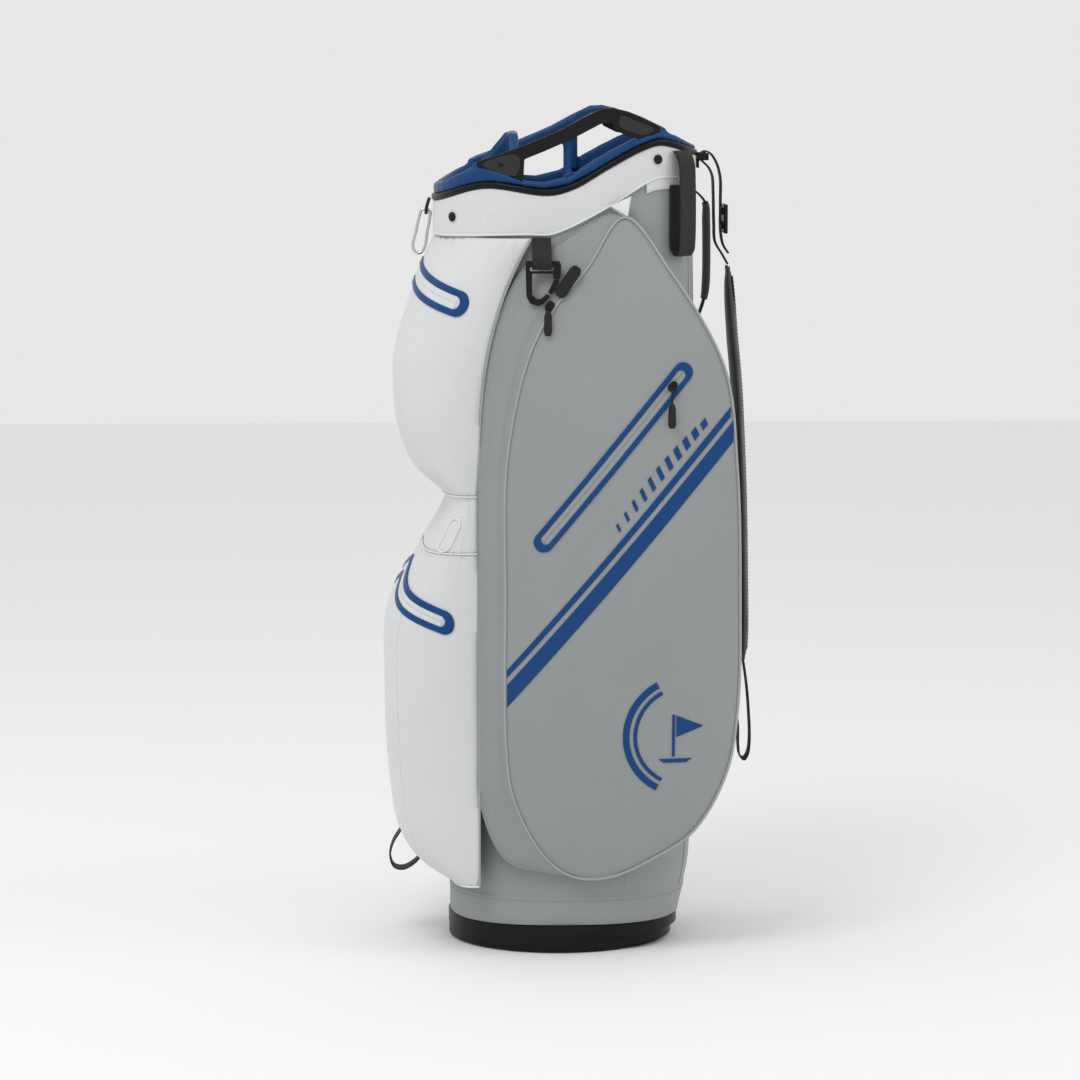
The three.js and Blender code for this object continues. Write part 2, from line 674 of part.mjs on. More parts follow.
function sideZip() {
  const start = V(0, along(SIDE_ZIP.low[0]), up(SIDE_ZIP.low[1]));
  const end = V(0, along(SIDE_ZIP.high[0]), up(SIDE_ZIP.high[1]));
  const line = end.clone().sub(start);
  const length = line.length();
  const dir = line.normalize();
  const wide = V(0, -dir.z, dir.y);
  const r = SIDE_ZIP.half;
  const caps = [0.97, 0.8, 0.5, 0.2].map((c) => -r * c);
  const spans = Array.from({ length: 9 }, (_, i) => (length * i) / 8);
  const stations = [...caps, ...spans, ...caps.map((c) => length - c).reverse()];
  const rings = stations.map((s) => {
    const over = s < 0 ? s : s > length ? s - length : 0;
    const half = Math.sqrt(r * r - over * over);
    const at = start.clone().addScaledVector(dir, s);
    return [[-half, TAPE_LIFT], [half, TAPE_LIFT], [half, TAPE_LIFT + TAPE_T], [-half, TAPE_LIFT + TAPE_T]].map(([w, off]) => {
      const p = at.clone().addScaledVector(wide, w);
      return onPocket((p.y * DRAWN.depth) / COLLAR_D, (p.z * DRAWN.height) / BAG_H, off);
    });
  });
  return skin(rings);
}

// A front zip: it climbs from one side, round the front, to the other; heights at the middle and ends.
const UPPER_ZIP = { mid: 720, end: 686, reach: 143, half: 13 };
const LOWER_ZIP = { mid: 402, end: 352, reach: 158, half: 12 };
const zipHeight = (zip, s) => zip.mid - (zip.mid - zip.end) * (Math.abs(s) / zip.reach) ** 1.15;

function frontZip(zip) {
  const count = 30;
  const rings = Array.from({ length: count + 1 }, (_, i) => {
    const s = zip.reach * ((2 * i) / count - 1) + 0.01;
    const z = zipHeight(zip, s);
    const low = z - lift(zip.half);
    const high = z + lift(zip.half);
    return [frontPoint(s, low, TAPE_LIFT), frontPoint(s, low, TAPE_LIFT + TAPE_T),
      frontPoint(s, high, TAPE_LIFT + TAPE_T), frontPoint(s, high, TAPE_LIFT)];
  });
  return skin(rings);
}

// A zip slider: a small wedge at a point, its length along a direction, its height along the outward one.
function slider(at, dir, out) {
  const side = V(0, 0, 0).crossVectors(out, dir).normalize();
  const { length, width, height } = SLIDER;
  const rows = [[-0.5, 0.5], [-0.2, 1], [0.3, 0.9], [0.5, 0.45]];
  const rings = rows.map(([share, wide]) => {
    const p = at.clone().addScaledVector(dir, share * length);
    const w = (width * wide) / 2;
    return [[-w, 0], [w, 0], [w * 0.7, height * (0.6 + 0.4 * wide)], [-w * 0.7, height * (0.6 + 0.4 * wide)]].map(
      ([s, h]) => p.clone().addScaledVector(side, s).addScaledVector(out, h),
    );
  });
  return skin(rings);
}

// A pull: a short cord and a moulded tongue, hanging from a point; rows are [drop, half width, half depth].
const PULL_ROWS = [[1, 1.2, 1.2], [16, 1.2, 1.2], [18, 3, 2], [22, 4, 2.3], [38, 4.4, 2.3], [42, 3, 1.6]];
function pull(top, side, out, short = 0) {
  const rings = PULL_ROWS.map(([drop, w, d], i) => {
    const p = top.clone().addScaledVector(Z, -(i > 1 ? drop - short : Math.min(drop, 16 - short)));
    return roundSection(1, 8).map(([u, v]) => p.clone().addScaledVector(side, u * w).addScaledVector(out, v * d));
  });
  return skin(rings);
}

const TAPE_TOP = TAPE_LIFT + TAPE_T + GAP;
const sideZipAngle = Math.atan2(
  up(SIDE_ZIP.high[1] - SIDE_ZIP.low[1]),
  along(SIDE_ZIP.high[0] - SIDE_ZIP.low[0]),
);
const SIDE_SLIDER = [110.7, 606]; // parked near the upper end
const sideSliderAt = () => onPocket(...SIDE_SLIDER, TAPE_TOP + SLIDER_LIFT);
const sideSlider = () => slider(sideSliderAt(), V(0, Math.cos(sideZipAngle), Math.sin(sideZipAngle)), X);
const sidePull = () => pull(sideSliderAt().add(V(8, -1, -1)), Y, X);

// The curved zip's head: a rubber garage, with the slider just below it on the gusset.
const GUSSET_ZIP = { garage: [[10, 724], [-3.6, 703]], slider: [-16, 688], x: 140.8 };
function zipGarage() {
  const [a, b] = GUSSET_ZIP.garage.map(([y, z]) => V(across(GUSSET_ZIP.x), along(y), up(z)));
  const dir = b.clone().sub(a).normalize();
  const wide = V(0, 0, 0).crossVectors(dir, X);
  const rings = [[-6, 3], [-4.5, 5], [0, 6.5], [25, 6.5], [29.5, 5], [31, 3]].map(([s, w]) => {
    const p = a.clone().addScaledVector(dir, s);
    return [[-w, 0], [w, 0], [w * 0.8, 3.5], [-w * 0.8, 3.5]].map(([u, h]) =>
      p.clone().addScaledVector(wide, u).addScaledVector(X, h),
    );
  });
  return skin(rings);
}
const gussetSliderAt = () => V(across(GUSSET_ZIP.x), along(GUSSET_ZIP.slider[0]), up(GUSSET_ZIP.slider[1]));
const gussetSlider = () => slider(gussetSliderAt(), V(0, 0.55, 0.835), X);
const gussetPull = () => pull(gussetSliderAt().add(V(7.2, -2, -2)), Y, X, 14);

// The front zips' sliders, parked at the end of their tracks on the hidden side.
function frontSliderFrame(zip) {
  const s = -(zip.reach - 14);
  const at = frontPoint(s, zipHeight(zip, s), TAPE_TOP + SLIDER_LIFT);
  const next = frontPoint(s + 6, zipHeight(zip, s + 6), TAPE_TOP + SLIDER_LIFT);
  const dir = next.clone().sub(at).normalize();
  const out = V(0, 0, 0).crossVectors(Z, dir).setZ(0).normalize();
  if (out.x > 0) out.negate();
  return { at, dir, out: out.addScaledVector(dir, -out.dot(dir)).normalize() };
}

function frontSlider(zip) {
  const { at, dir, out } = frontSliderFrame(zip);
  return slider(at, dir, out);
}

function frontPull(zip) {
  const { at, out } = frontSliderFrame(zip);
  const side = V(0, 0, 0).crossVectors(Z, out).normalize();
  return pull(at.clone().addScaledVector(out, 8.2).add(V(0, 0, -1)), side, out);
}

// ---- Clip on its webbing tab ----
const CLIP = { y: -24, x: 139.5, barZ: 731, width: 20, thick: 5 };
function clipTab() {
  const { x, barZ } = CLIP;
  const loop = [[119.6, 757.5], [122, 750], [x - 4.8, barZ + 5], [x - 4.8, barZ - 1.5], [x - 2.4, barZ - 4.1],
    [x + 2.4, barZ - 4.1], [x + 4.8, barZ - 1.5], [x + 4, barZ + 6], [126.4, 752], [123.3, 757.5]];
  const path = loop.map(([px, pz]) => V(across(px), along(CLIP.y), up(pz)));
  return sweep(smooth(path, 24), Y, flatSection(CLIP.width, 1.6));
}

const HOOK_OUT = [[-41, 735], [-6, 735], [-4, 731], [-5, 716], [-12, 716.5], [-12.5, 722], [-34, 722], [-34, 700],
  [-29, 695.5], [-24, 696.5], [-19, 701.5], [-15.5, 698.5], [-22, 691], [-28, 688.5], [-36, 691], [-40, 698]];
const HOOK_SLOT = [[-36.5, 728.6], [-36.5, 724.4], [-11.5, 724.4], [-11.5, 728.6]];
const plain = (outline) => outline.map(([y, z]) => [along(CLIP.y) + y + 24, up(CLIP.barZ) + z - 731]);
const clipHook = () => plateAt(plain(HOOK_OUT), CLIP.thick, across(CLIP.x), [plain(HOOK_SLOT)]);
const GATE = [[-11, 716], [-5.6, 715.4], [-10.6, 703], [-14.4, 700.6], [-17.6, 702.9]];
const clipGate = () => plateAt(plain(GATE), CLIP.thick - 1, across(CLIP.x));

// ---- Towel ring and its tab ----
const RING = { y: -141.5, z: 783, wire: 1.7, drop: 44, lean: 9 };
function towelRing() {
  const top = V(0, along(RING.y), up(RING.z));
  const down = V(0, -RING.lean, -RING.drop).normalize();
  const wide = V(0, -down.z, down.y);
  const shape = [[0, 0], [-4.6, 1.8], [-5.6, 9], [-6, 26], [-6.6, 38], [-4.6, 45], [0, 47.5], [4.6, 45], [6.6, 38],
    [6, 26], [5.6, 9], [4.6, 1.8]];
  const path = shape.map(([w, d]) => top.clone().addScaledVector(wide, -w).addScaledVector(down, d));
  return sweep(smooth(path, 36, true), X, roundSection(RING.wire, 8), true);
}

function towelTab() {
  const path = [[-1.1, 3.6, 12], [-2.6, 2.2, 8], [-3.6, 0.3, 1], [-2.9, 0, -3.2], [0, 0, -5], [2.9, 0, -3.2],
    [3.6, 0.3, 1], [2.6, 2.2, 8], [1.1, 3.6, 12]].map(([x, y, z]) => V(x, along(RING.y) + y, up(RING.z) + z));
  return sweep(smooth(path, 22), Y, flatSection(3.4, 1.2));
}

// ---- Grab loop at the back corner ----
const GRAB = { x: 78, width: 28, top: 846, low: 737 };
const GRAB_PATH = [[5.6, 846], [9.5, 842], [13, 834], [14.5, 815], [14.5, 752], [13, 742], [8.6, 737.5],
  [4, 742], [2.2, 752], [1.9, 785], [1.9, 811]];

function grabFrame() {
  const { a, b, mid } = tubeSection(COLLAR_Z);
  const x = across(GRAB.x);
  const share = (1 - (x / a) ** SQUARENESS) ** (1 / SQUARENESS);
  const y = mid + b * share;
  const out = V((x / a) ** (SQUARENESS - 1) / a, share ** (SQUARENESS - 1) / b, 0).normalize();
  return { base: V(x, y, 0), out, side: V(-out.y, out.x, 0) };
}

function grabLoop() {
  const { base, out, side } = grabFrame();
  const path = GRAB_PATH.map(([d, z]) => base.clone().addScaledVector(out, d).add(V(0, 0, up(z))));
  return sweep(smooth(path, 26), side, flatSection(GRAB.width, WEBBING_T));
}

// ---- Padded carry handle on the spine: webbing at the ends, a sleeve between ----
const CARRY_PATH = [[144.2, 802], [150, 797], [155.5, 789], [156.5, 770], [156.5, 705], [154.5, 688],
  [148.5, 670], [144.2, 663]];
function carryHandle() {
  const sleeve = (t) => (t > 0.1 && t < 0.83 ? flatSection(STRAP_W, 8) : flatSection(STRAP_W - 5, WEBBING_T));
  return sweep(smooth(inYZ(CARRY_PATH), 26), X, sleeve);
}

// ---- Shoulder strap ----
const ANCHOR = { barR: 2.2, half: 17, reach: 9.4, plate: 2 };
const TOP_ANCHOR = { face: 145.3, bar: 838.5 };
const LOW_ANCHOR = { face: 142.6, bar: 270 };
const barY = ({ face }) => along(face) + ANCHOR.reach;

// A fixed bracket: a plate, two ears and the bar that the webbing turns round.
function strapAnchor({ face, bar }, plateLow, plateHigh) {
  const y = along(face);
  const z = up(bar);
  const { half, plate, reach, barR } = ANCHOR;
  const back = box(V(-half - 4, y, z - plateLow), V(half + 4, y + plate, z + plateHigh));
  const ears = [-1, 1].map((s) =>
    box(V(s * half - 1.2, y + plate / 2, z - 4), V(s * half + 1.2, y + reach + 3, z + 4)),
  );
  const path = [V(-half, y + reach, z), V(half, y + reach, z)];
  return join(back, ...ears, sweep(path, Z, roundSection(barR, 10)));
}

const STRAP_UPPER = [[180, 736], [174.5, 745], [172, 758], [171.6, 790], [171, 818], [166, 834], [160, 842],
  [154.7, 844], [150, 841.2], [149.4, 836.6], [152.4, 833], [158.5, 827], [162.6, 818], [163.8, 800], [164.6, 768], [166, 748],
  [174, 734], [179.3, 724.5]];
const strapUpper = () => sweep(smooth(inYZ(STRAP_UPPER), 56), X, flatSection(STRAP_W - 5, 1.8));

const BUCKLE = { y: 176.4, low: 757, high: 788, half: 17.5, thick: 4 };
function strapBuckle() {
  const y = along(BUCKLE.y);
  const low = up(BUCKLE.low);
  const high = low + (BUCKLE.high - BUCKLE.low);
  const plate = box(V(-BUCKLE.half, y - BUCKLE.thick / 2, low), V(BUCKLE.half, y + BUCKLE.thick / 2, high));
  const slot = (from) =>
    box(V(3 - BUCKLE.half, y - BUCKLE.thick, low + from), V(BUCKLE.half - 3, y + BUCKLE.thick, low + from + 8));
  return cut(plate, slot(4), slot(19));
}

const PAD_PATH = [[179.5, 722], [184.5, 650], [189, 600], [192.5, 535], [195, 471], [197, 380], [198.2, 300]];
function strapPad() {
  const wide = through([[0, 26], [0.12, 50], [0.25, 60], [0.85, 60], [0.95, 48], [1, 26]]);
  const thick = through([[0, 5], [0.1, 10], [0.9, 11], [1, 6]]);
  const section = (t) => {
    const w = wide(t) / 2;
    const h = thick(t) / 2;
    return [[-w, 0], [-w * 0.9, -h * 0.8], [0, -h], [w * 0.9, -h * 0.8], [w, 0], [w * 0.9, h * 0.8], [0, h],
      [-w * 0.9, h * 0.8]];
  };
  return sweep(smooth(inYZ(PAD_PATH), 22), X, section);
}

const STRAP_LOWER = [[198.4, 299], [202.5, 270], [205, 240], [206, 212], [204.2, 196], [200, 189.4], [195.5, 193],
  [193.6, 206], [193, 230], [187.5, 255], [175, 273], [163, 278.5], [155, 277], [149.4, 275.2],
  [146.5, 271], [147, 266.6], [151, 264.3], [157.5, 265.5]];
const strapLower = () => sweep(smooth(inYZ(STRAP_LOWER), 48), X, flatSection(STRAP_W - 5, 1.8));

// ---- Webbing loop under the ball pocket ----
const BASE_PATH = [[-171.4, 114.5], [-179.5, 101], [-182.8, 87], [-178.5, 74.8], [-168.5, 72.5], [-157, 78.5],
  [-149.2, 86.5]];
const baseLoop = () => sweep(smooth(inYZ(BASE_PATH), 18), X, flatSection(25, WEBBING_T));

// ---- Assembly ----
piece("foot_cup", footCup(), "rubber");
piece("base_pad", basePad(), "lining");
piece("tube_shell", cut(tubeShell(), ...allRivetHoles()), "grey");
piece("cuff", cut(collarBand(CUFF_OUT, GAP, cuffLowAt, cuffTopAt), ...allRivetHoles()), "white");
piece("collar_gasket", gasket(), "rubber");
piece("divider_top", dividerTop(), "blue");
bothSides("handle_grip", grip(), "black");
RIVETS.forEach((place) => bothSides(`rivet_${place.name}`, rivet(place), "black"));
CROSS_BARS.forEach((y, i) => piece(`cross_sheet_${i + 1}`, crossSheet(y), "lining"));
LONG_BARS.forEach((x, i) => piece(`long_sheet_${i + 1}`, longSheet(x), "lining"));
piece("back_sheet", backSheet(), "lining");
piece("spine_stay", spineStay(), "alloy");
bothSides("side_stay", sideStay(), "alloy");
piece("upper_front_pocket", frontPocket(UPPER_POCKET), "white");
piece("waist_pocket", frontPocket([WAIST[0] + lift(GAP), ...WAIST.slice(1, -1), WAIST.at(-1) - lift(GAP)]), "white");
piece("lower_ball_pocket", frontPocket(LOWER_POCKET), "white");
bothSides("side_pocket", sidePocket(), "grey");
bothSides("side_zip", sideZip(), "blue");
piece("upper_zip", frontZip(UPPER_ZIP), "blue");
piece("lower_zip", frontZip(LOWER_ZIP), "blue");
bothSides("side_slider", sideSlider(), "black");
bothSides("side_pull", sidePull(), "rubber");
bothSides("zip_garage", zipGarage(), "rubber");
bothSides("gusset_slider", gussetSlider(), "black");
bothSides("gusset_pull", gussetPull(), "rubber");
piece("upper_slider", frontSlider(UPPER_ZIP), "black");
piece("upper_pull", frontPull(UPPER_ZIP), "rubber");
piece("lower_slider", frontSlider(LOWER_ZIP), "black");
piece("lower_pull", frontPull(LOWER_ZIP), "rubber");
piece("clip_tab", clipTab(), "webbing");
piece("clip_hook", clipHook(), "black");
piece("clip_gate", clipGate(), "black");
piece("towel_tab", towelTab(), "webbing");
piece("towel_ring", towelRing(), "wire");
piece("grab_loop", grabLoop(), "webbing");
piece("carry_handle", carryHandle(), "pad");
piece("strap_anchor_top", strapAnchor(TOP_ANCHOR, 12, 0.5), "black");
piece("strap_anchor_low", strapAnchor(LOW_ANCHOR, 16, 16), "black");
piece("strap_upper", strapUpper(), "webbing");
piece("strap_buckle", strapBuckle(), "black");
piece("strap_pad", strapPad(), "pad");
piece("strap_lower", strapLower(), "webbing");
piece("base_loop", baseLoop(), "webbing");

export default bag;
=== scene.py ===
import math

import bmesh
import bpy
import numpy as np
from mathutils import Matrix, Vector


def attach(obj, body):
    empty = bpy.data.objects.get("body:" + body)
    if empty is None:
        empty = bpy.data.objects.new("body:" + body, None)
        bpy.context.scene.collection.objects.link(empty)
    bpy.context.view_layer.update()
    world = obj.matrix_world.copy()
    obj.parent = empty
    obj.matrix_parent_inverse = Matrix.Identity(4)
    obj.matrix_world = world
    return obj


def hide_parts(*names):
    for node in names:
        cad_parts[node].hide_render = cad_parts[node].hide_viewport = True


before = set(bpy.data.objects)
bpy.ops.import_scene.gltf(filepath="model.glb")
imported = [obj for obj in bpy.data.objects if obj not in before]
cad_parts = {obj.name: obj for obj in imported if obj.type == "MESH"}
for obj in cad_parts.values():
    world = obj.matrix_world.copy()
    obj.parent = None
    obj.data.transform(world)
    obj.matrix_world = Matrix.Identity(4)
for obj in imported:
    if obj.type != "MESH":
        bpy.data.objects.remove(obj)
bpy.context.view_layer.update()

# ------------------------------------------------------------
# Foot cup: one black moulding of tough rubbery plastic that the tube is pushed onto and glued.
# Its wall stands 3 mm proud of the cloth under a rounded lip, and its heel is cut back 10 mm.


def through(*pairs):
    """A smooth function through (input, value) pairs: a cubic between two pairs, whose end slopes are
    the rise over the run between each pair's neighbours, and level beyond the ends."""
    t, v = np.array(pairs, float).T
    step = np.arange(len(t))
    before, after = np.maximum(step - 1, 0), np.minimum(step + 1, len(t) - 1)
    slope = (v[after] - v[before]) / (t[after] - t[before])

    def at(x):
        x = np.clip(np.asarray(x, float), t[0], t[-1])
        k = np.clip(np.searchsorted(t, x) - 1, 0, len(t) - 2)
        h = t[k + 1] - t[k]
        s = (x - t[k]) / h
        near = v[k] * (1 + 2 * s) + h * slope[k] * s
        far = v[k + 1] * (3 - 2 * s) + h * slope[k + 1] * (s - 1)
        return near * (1 - s) ** 2 + far * s**2

    return at


def power(v, e):
    """v to the power e, keeping v's sign."""
    return np.sign(v) * np.abs(v) ** e


class Shell:
    """A mesh put together from grids of points, in millimetres. Each point is joined to the next in
    its row and in the next row; its flat place on the cloth, in metres, is the mean distance along
    the rows and the columns."""

    def __init__(self):
        self.points, self.faces, self.flat, self.looks, self.count = [], [], [], [], 0

    def add(self, points, faces, flat, look=0):
        self.points.append(points.reshape(-1, 3))
        self.faces += (faces + self.count).tolist()
        self.flat.append(flat.reshape(-1, 2))
        self.looks += [look] * len(faces)
        self.count += len(self.points[-1])

    def grid(self, p, around=False, over=False, caps=False, look=0, flat=None):
        """Rows by columns of points; around joins the last column to the first, over the last row to
        the first, and caps closes the first and last rows."""
        rows, cols = p.shape[:2]
        wrapped = np.concatenate([p, p[:, :1]], 1) if around else p
        wrapped = np.concatenate([wrapped, wrapped[:1]], 0) if over else wrapped
        along = np.linalg.norm(np.diff(wrapped, axis=1), axis=-1).mean(0)
        up = np.linalg.norm(np.diff(wrapped, axis=0), axis=-1).mean(1)
        u, v = np.append(0, np.cumsum(along)), np.append(0, np.cumsum(up))
        place = np.stack(np.meshgrid(u, v), -1) if flat is None else flat
        r, c = np.meshgrid(np.arange(len(v) - 1), np.arange(len(u) - 1), indexing="ij")
        r, c = r.reshape(-1, 1), c.reshape(-1, 1)
        dr, dc = np.array([0, 0, 1, 1]), np.array([0, 1, 1, 0])
        faces = ((r + dr) % rows) * cols + (c + dc) % cols
        self.add(p, faces, place[r + dr, c + dc] / 1000, look)
        if caps:
            for row in (0, rows - 1):
                self.faces.append((np.arange(cols) + row * cols + self.count - rows * cols).tolist())
                self.flat.append(p[row, :, :2] / 1000)
                self.looks.append(look)
        return self

    def make(self, name, looks, stands_for=(), body="bag", open_edge=False, crease=60):
        """The object: doubles merged, faces turned outwards, edges sharper than crease kept sharp."""
        mesh = bpy.data.meshes.new(name)
        mesh.from_pydata((np.concatenate(self.points) / 1000).tolist(), [], self.faces)
        layer = mesh.uv_layers.new(name="cloth")
        layer.data.foreach_set("uv", np.concatenate(self.flat).astype(np.float32).ravel())
        mesh.polygons.foreach_set("material_index", np.array(self.looks, np.int32))
        for look in looks:
            mesh.materials.append(look.material)
        work = bmesh.new()
        work.from_mesh(mesh)
        bmesh.ops.remove_doubles(work, verts=work.verts, dist=1e-6)
        if open_edge:
            middle = sum((v.co for v in work.verts), Vector()) / len(work.verts)
            outwards = sum(f.normal.dot(f.calc_center_median() - middle) * f.calc_area() for f in work.faces)
            if outwards < 0:
                bmesh.ops.reverse_faces(work, faces=work.faces)
        else:
            bmesh.ops.recalc_face_normals(work, faces=work.faces)
        work.to_mesh(mesh)
        work.free()
        return settle(bpy.data.objects.new(name, mesh), looks[0].slot, stands_for, body, crease)


def settle(obj, slot, stands_for, body, crease=60):
    """Shades a finished piece and hands it to its body and the solids it stands for. Its finish, the slot, is
    not used.
    """
    if obj.name not in bpy.context.scene.collection.objects:
        bpy.context.scene.collection.objects.link(obj)
    obj.data.shade_smooth()
    obj.data.set_sharp_from_angle(angle=math.radians(crease))
    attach(obj, body)
    if stands_for:
        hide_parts(*stands_for)
    return obj


class Value:
    """A number running through a material; arithmetic on it adds Math nodes."""

    def __init__(self, look, socket):
        self.look, self.socket = look, socket

    def math(self, operation, a, b=0.0):
        return self.look.node("ShaderNodeMath", {"operation": operation}, {0: a, 1: b})

    def __add__(self, other):
        return self.math("ADD", self, other)

    def __sub__(self, other):
        return self.math("SUBTRACT", self, other)

    def __rsub__(self, other):
        return self.math("SUBTRACT", other, self)

    def __mul__(self, other):
        return self.math("MULTIPLY", self, other)

    __radd__, __rmul__ = __add__, __mul__

    def sine(self):
        return self.math("SINE", self)


class Look:
    """One material and the finish that it belongs to. Numbers and colours that are the same all over
    are set on the shader itself."""

    def __init__(self, name, slot=None, **fixed):
        self.slot = slot
        self.material = bpy.data.materials.new(name)
        self.material.use_nodes = True
        self.tree = self.material.node_tree
        self.shader = self.tree.nodes["Principled BSDF"]
        for socket, value in fixed.items():
            self.shader.inputs[socket.replace("_", " ")].default_value = value

    def node(self, kind, settings={}, inputs={}, out=0):
        made = self.tree.nodes.new(kind)
        for key, value in settings.items():
            setattr(made, key, value)
        for key, value in inputs.items():
            if isinstance(value, Value):
                self.tree.links.new(value.socket, made.inputs[key])
            else:
                made.inputs[key].default_value = value
        return Value(self, made.outputs[out])

    def flat(self):
        """The two distances along the cloth, in metres."""
        at = self.node("ShaderNodeUVMap", {"uv_map": "cloth"})
        across = self.node("ShaderNodeSeparateXYZ", {}, {0: at})
        return across, Value(self, across.socket.node.outputs[1])

    def noise(self, scale, detail=3.0, roughness=0.55, stretch=None):
        at = self.node("ShaderNodeTexCoord", out=3)
        if stretch:
            at = self.node("ShaderNodeMapping", {}, {"Vector": at, "Scale": stretch})
        return self.node(
            "ShaderNodeTexNoise", {}, {"Vector": at, "Scale": scale, "Detail": detail, "Roughness": roughness}
        )

    def tint(self, factor, low, high):
        """A colour that runs from low to high with a factor."""
        return self.node(
            "ShaderNodeMix", {"data_type": "RGBA"}, {0: factor, 6: (*low, 1), 7: (*high, 1)}, out=2
        )

    def relief(self, height, strength=1.0, depth=0.001):
        """A bumped normal from a height in units of depth."""
        return self.node("ShaderNodeBump", {}, {"Strength": strength, "Distance": depth, "Height": height})

    def finish(self, **links):
        for socket, value in links.items():
            self.tree.links.new(value.socket, self.shader.inputs[socket.replace("_", " ")])
        return self


def moulded(name, slot, low, high, rough, grain, grain_scale):
    """Moulded plastic or rubber: a fine eggshell grain, faint cloudiness and slightly uneven gloss."""
    look = Look(name, slot, Specular_IOR_Level=0.16)
    cloud, fine = look.noise(9, 2), look.noise(grain_scale, 2)
    return look.finish(
        Base_Color=look.tint(cloud, low, high),
        Roughness=rough + (look.noise(35, 4) - 0.5) * 0.16,
        Normal=look.relief(fine * grain, 0.6),
    )


half_width = through((30, 108), (100, 111), (560, 111), (735, 117))
tube_front = through((30, -117), (100, -117), (560, -117), (735, -131.5))
tube_back = through((30, 127), (100, 140), (560, 142), (735, 141.5))
SQUARE = 2.5  # how square the tube is, where 2 is an ellipse
COLLAR = 755  # the level whose outline the cuff, the gasket and the divider top share
AROUND = np.linspace(0, 2 * np.pi, 192, endpoint=False)


def tube_wall(level, angle, out=0.0, height=None):
    """Points round the tube: a squared ellipse, |x/a|^2.5 + |(y - middle)/b|^2.5 = 1, moved outwards.
    height, if given, sets each point's height from its depth on the tube's own face."""
    level, angle, out = (np.asarray(v, float) for v in (level, angle, out))
    back, front = tube_back(level), tube_front(level)
    b, middle = (back - front) / 2, (back + front) / 2
    rise = power(np.sin(angle), 2 / SQUARE)
    z = level if height is None else height(middle + b * rise)
    x = (half_width(level) + out) * power(np.cos(angle), 2 / SQUARE)
    return np.stack(np.broadcast_arrays(x, middle + (b + out) * rise, z), -1)


def across_tube(y, z, inset=0):
    """Half the distance across the tube's outline at a depth and a level, drawn in by an inset."""
    back, front = tube_back(z), tube_front(z)
    share = np.minimum(1, np.abs((y - (back + front) / 2) / ((back - front) / 2 - inset)))
    return (half_width(z) - inset) * (1 - share**SQUARE) ** (1 / SQUARE)


FOOT_RINGS = [  # height, half width, front, back, and how square the ring is
    (0, 60, -70, 70, 1), (0, 104.5, -114, 112.6, 1), (0.5, 107, -116.4, 115, 1),
    (1.6, 109, -118.2, 116.5, 1), (3.2, 110, -119, 117, 1), (6, 110.2, -119, 117, 1),
    (13.2, 110.2, -119, 117, 1), (14.2, 110.3, -119, 119.5, 1), (14.7, 110.7, -119.3, 125, 1),
    (15.4, 111, -119.5, 127, 1), (22, 111, -119.5, 127, 1), (27.6, 111, -119.5, 127, 1),
    (29.2, 110.7, -119.2, 126.8, 1), (30, 109.6, -118.2, 126.2, 1), (30.1, 104.8, -113.8, 123.8, 1.25),
    (49, 104.6, -113.6, 123.6, 1.25), (50, 103.6, -112.6, 122.6, 1.25), (50, 102, -111, 121, 1.25),
    (48, 101.6, -110.6, 120.6, 1.25), (6, 101.6, -110.6, 120.6, 1.25), (5, 98, -107, 117, 1.25),
]


def foot_ring(height, half, front, back, square):
    """A ring of the foot: an ellipse, or the tube's squared one."""
    x = half * power(np.cos(AROUND), 1 / square)
    y = (front + back) / 2 + (back - front) / 2 * power(np.sin(AROUND), 1 / square)
    return np.stack([x, y, np.full(len(AROUND), float(height))], -1)


rubber = moulded(
    "black_rubber", "base_rubber", (0.004, 0.004, 0.0042), (0.008, 0.008, 0.008), 0.36, 0.12, 700
)
foot = Shell().grid(np.stack([foot_ring(*r) for r in FOOT_RINGS]), around=True, caps=True)
foot.make("foot_moulding", [rubber], ["foot_cup"], crease=40)

# ------------------------------------------------------------
# Base pad: a felted foam disc dropped into the foot, where the clubs' heads and grips land.
# Its edge is rolled and its top is quilted a little by use.


def woven(name, slot, low, high, pitch, thread, rough=0.62, crumple=0.25, sheen=0.15):
    """Coated woven cloth: threads cross every pitch millimetres as the product of two sines, the tint
    clouds slowly, and long soft creases of crumple millimetres run through it."""
    look = Look(name, slot, Specular_IOR_Level=0.35, Sheen_Weight=sheen, Sheen_Roughness=0.5)
    u, v = look.flat()
    turn = 2000 * math.pi / pitch
    cross = (u * turn).sine() * (v * turn).sine()
    creases = look.noise(9, 3, 0.5, (1, 1, 0.45))
    height = cross * thread + (creases - 0.5) * crumple * 8
    tone = look.noise(14, 4) * 0.7 + cross * 0.25 + 0.15
    return look.finish(
        Base_Color=look.tint(tone, low, high),
        Roughness=rough + (creases - 0.5) * 0.12,
        Normal=look.relief(height, 0.55),
    )


lining_cloth = woven(
    "dark_lining", "lining", (0.012, 0.013, 0.015), (0.024, 0.026, 0.029), 2.2, 0.12, 0.85, 0.2, 0.3
)
PAD_RINGS = [(5.4, 0), (9, 0.4), (11.4, 1.6), (12.4, 5), (12.1, 30), (12.5, 60), (12.2, 85)]
pad = np.stack([tube_wall(0, AROUND, -7.4 - inset) * (1, 1, 0) + (0, 0, z) for z, inset in PAD_RINGS])
base = Shell().grid(pad, around=True, caps=True)
base.make("felt_base_pad", [lining_cloth], ["base_pad"])

# ------------------------------------------------------------
# Tube: grey coated polyester over thin foam, sewn into a tube and turned up in a stitched hem
# above the foot. Its dark lining shows down the wells.

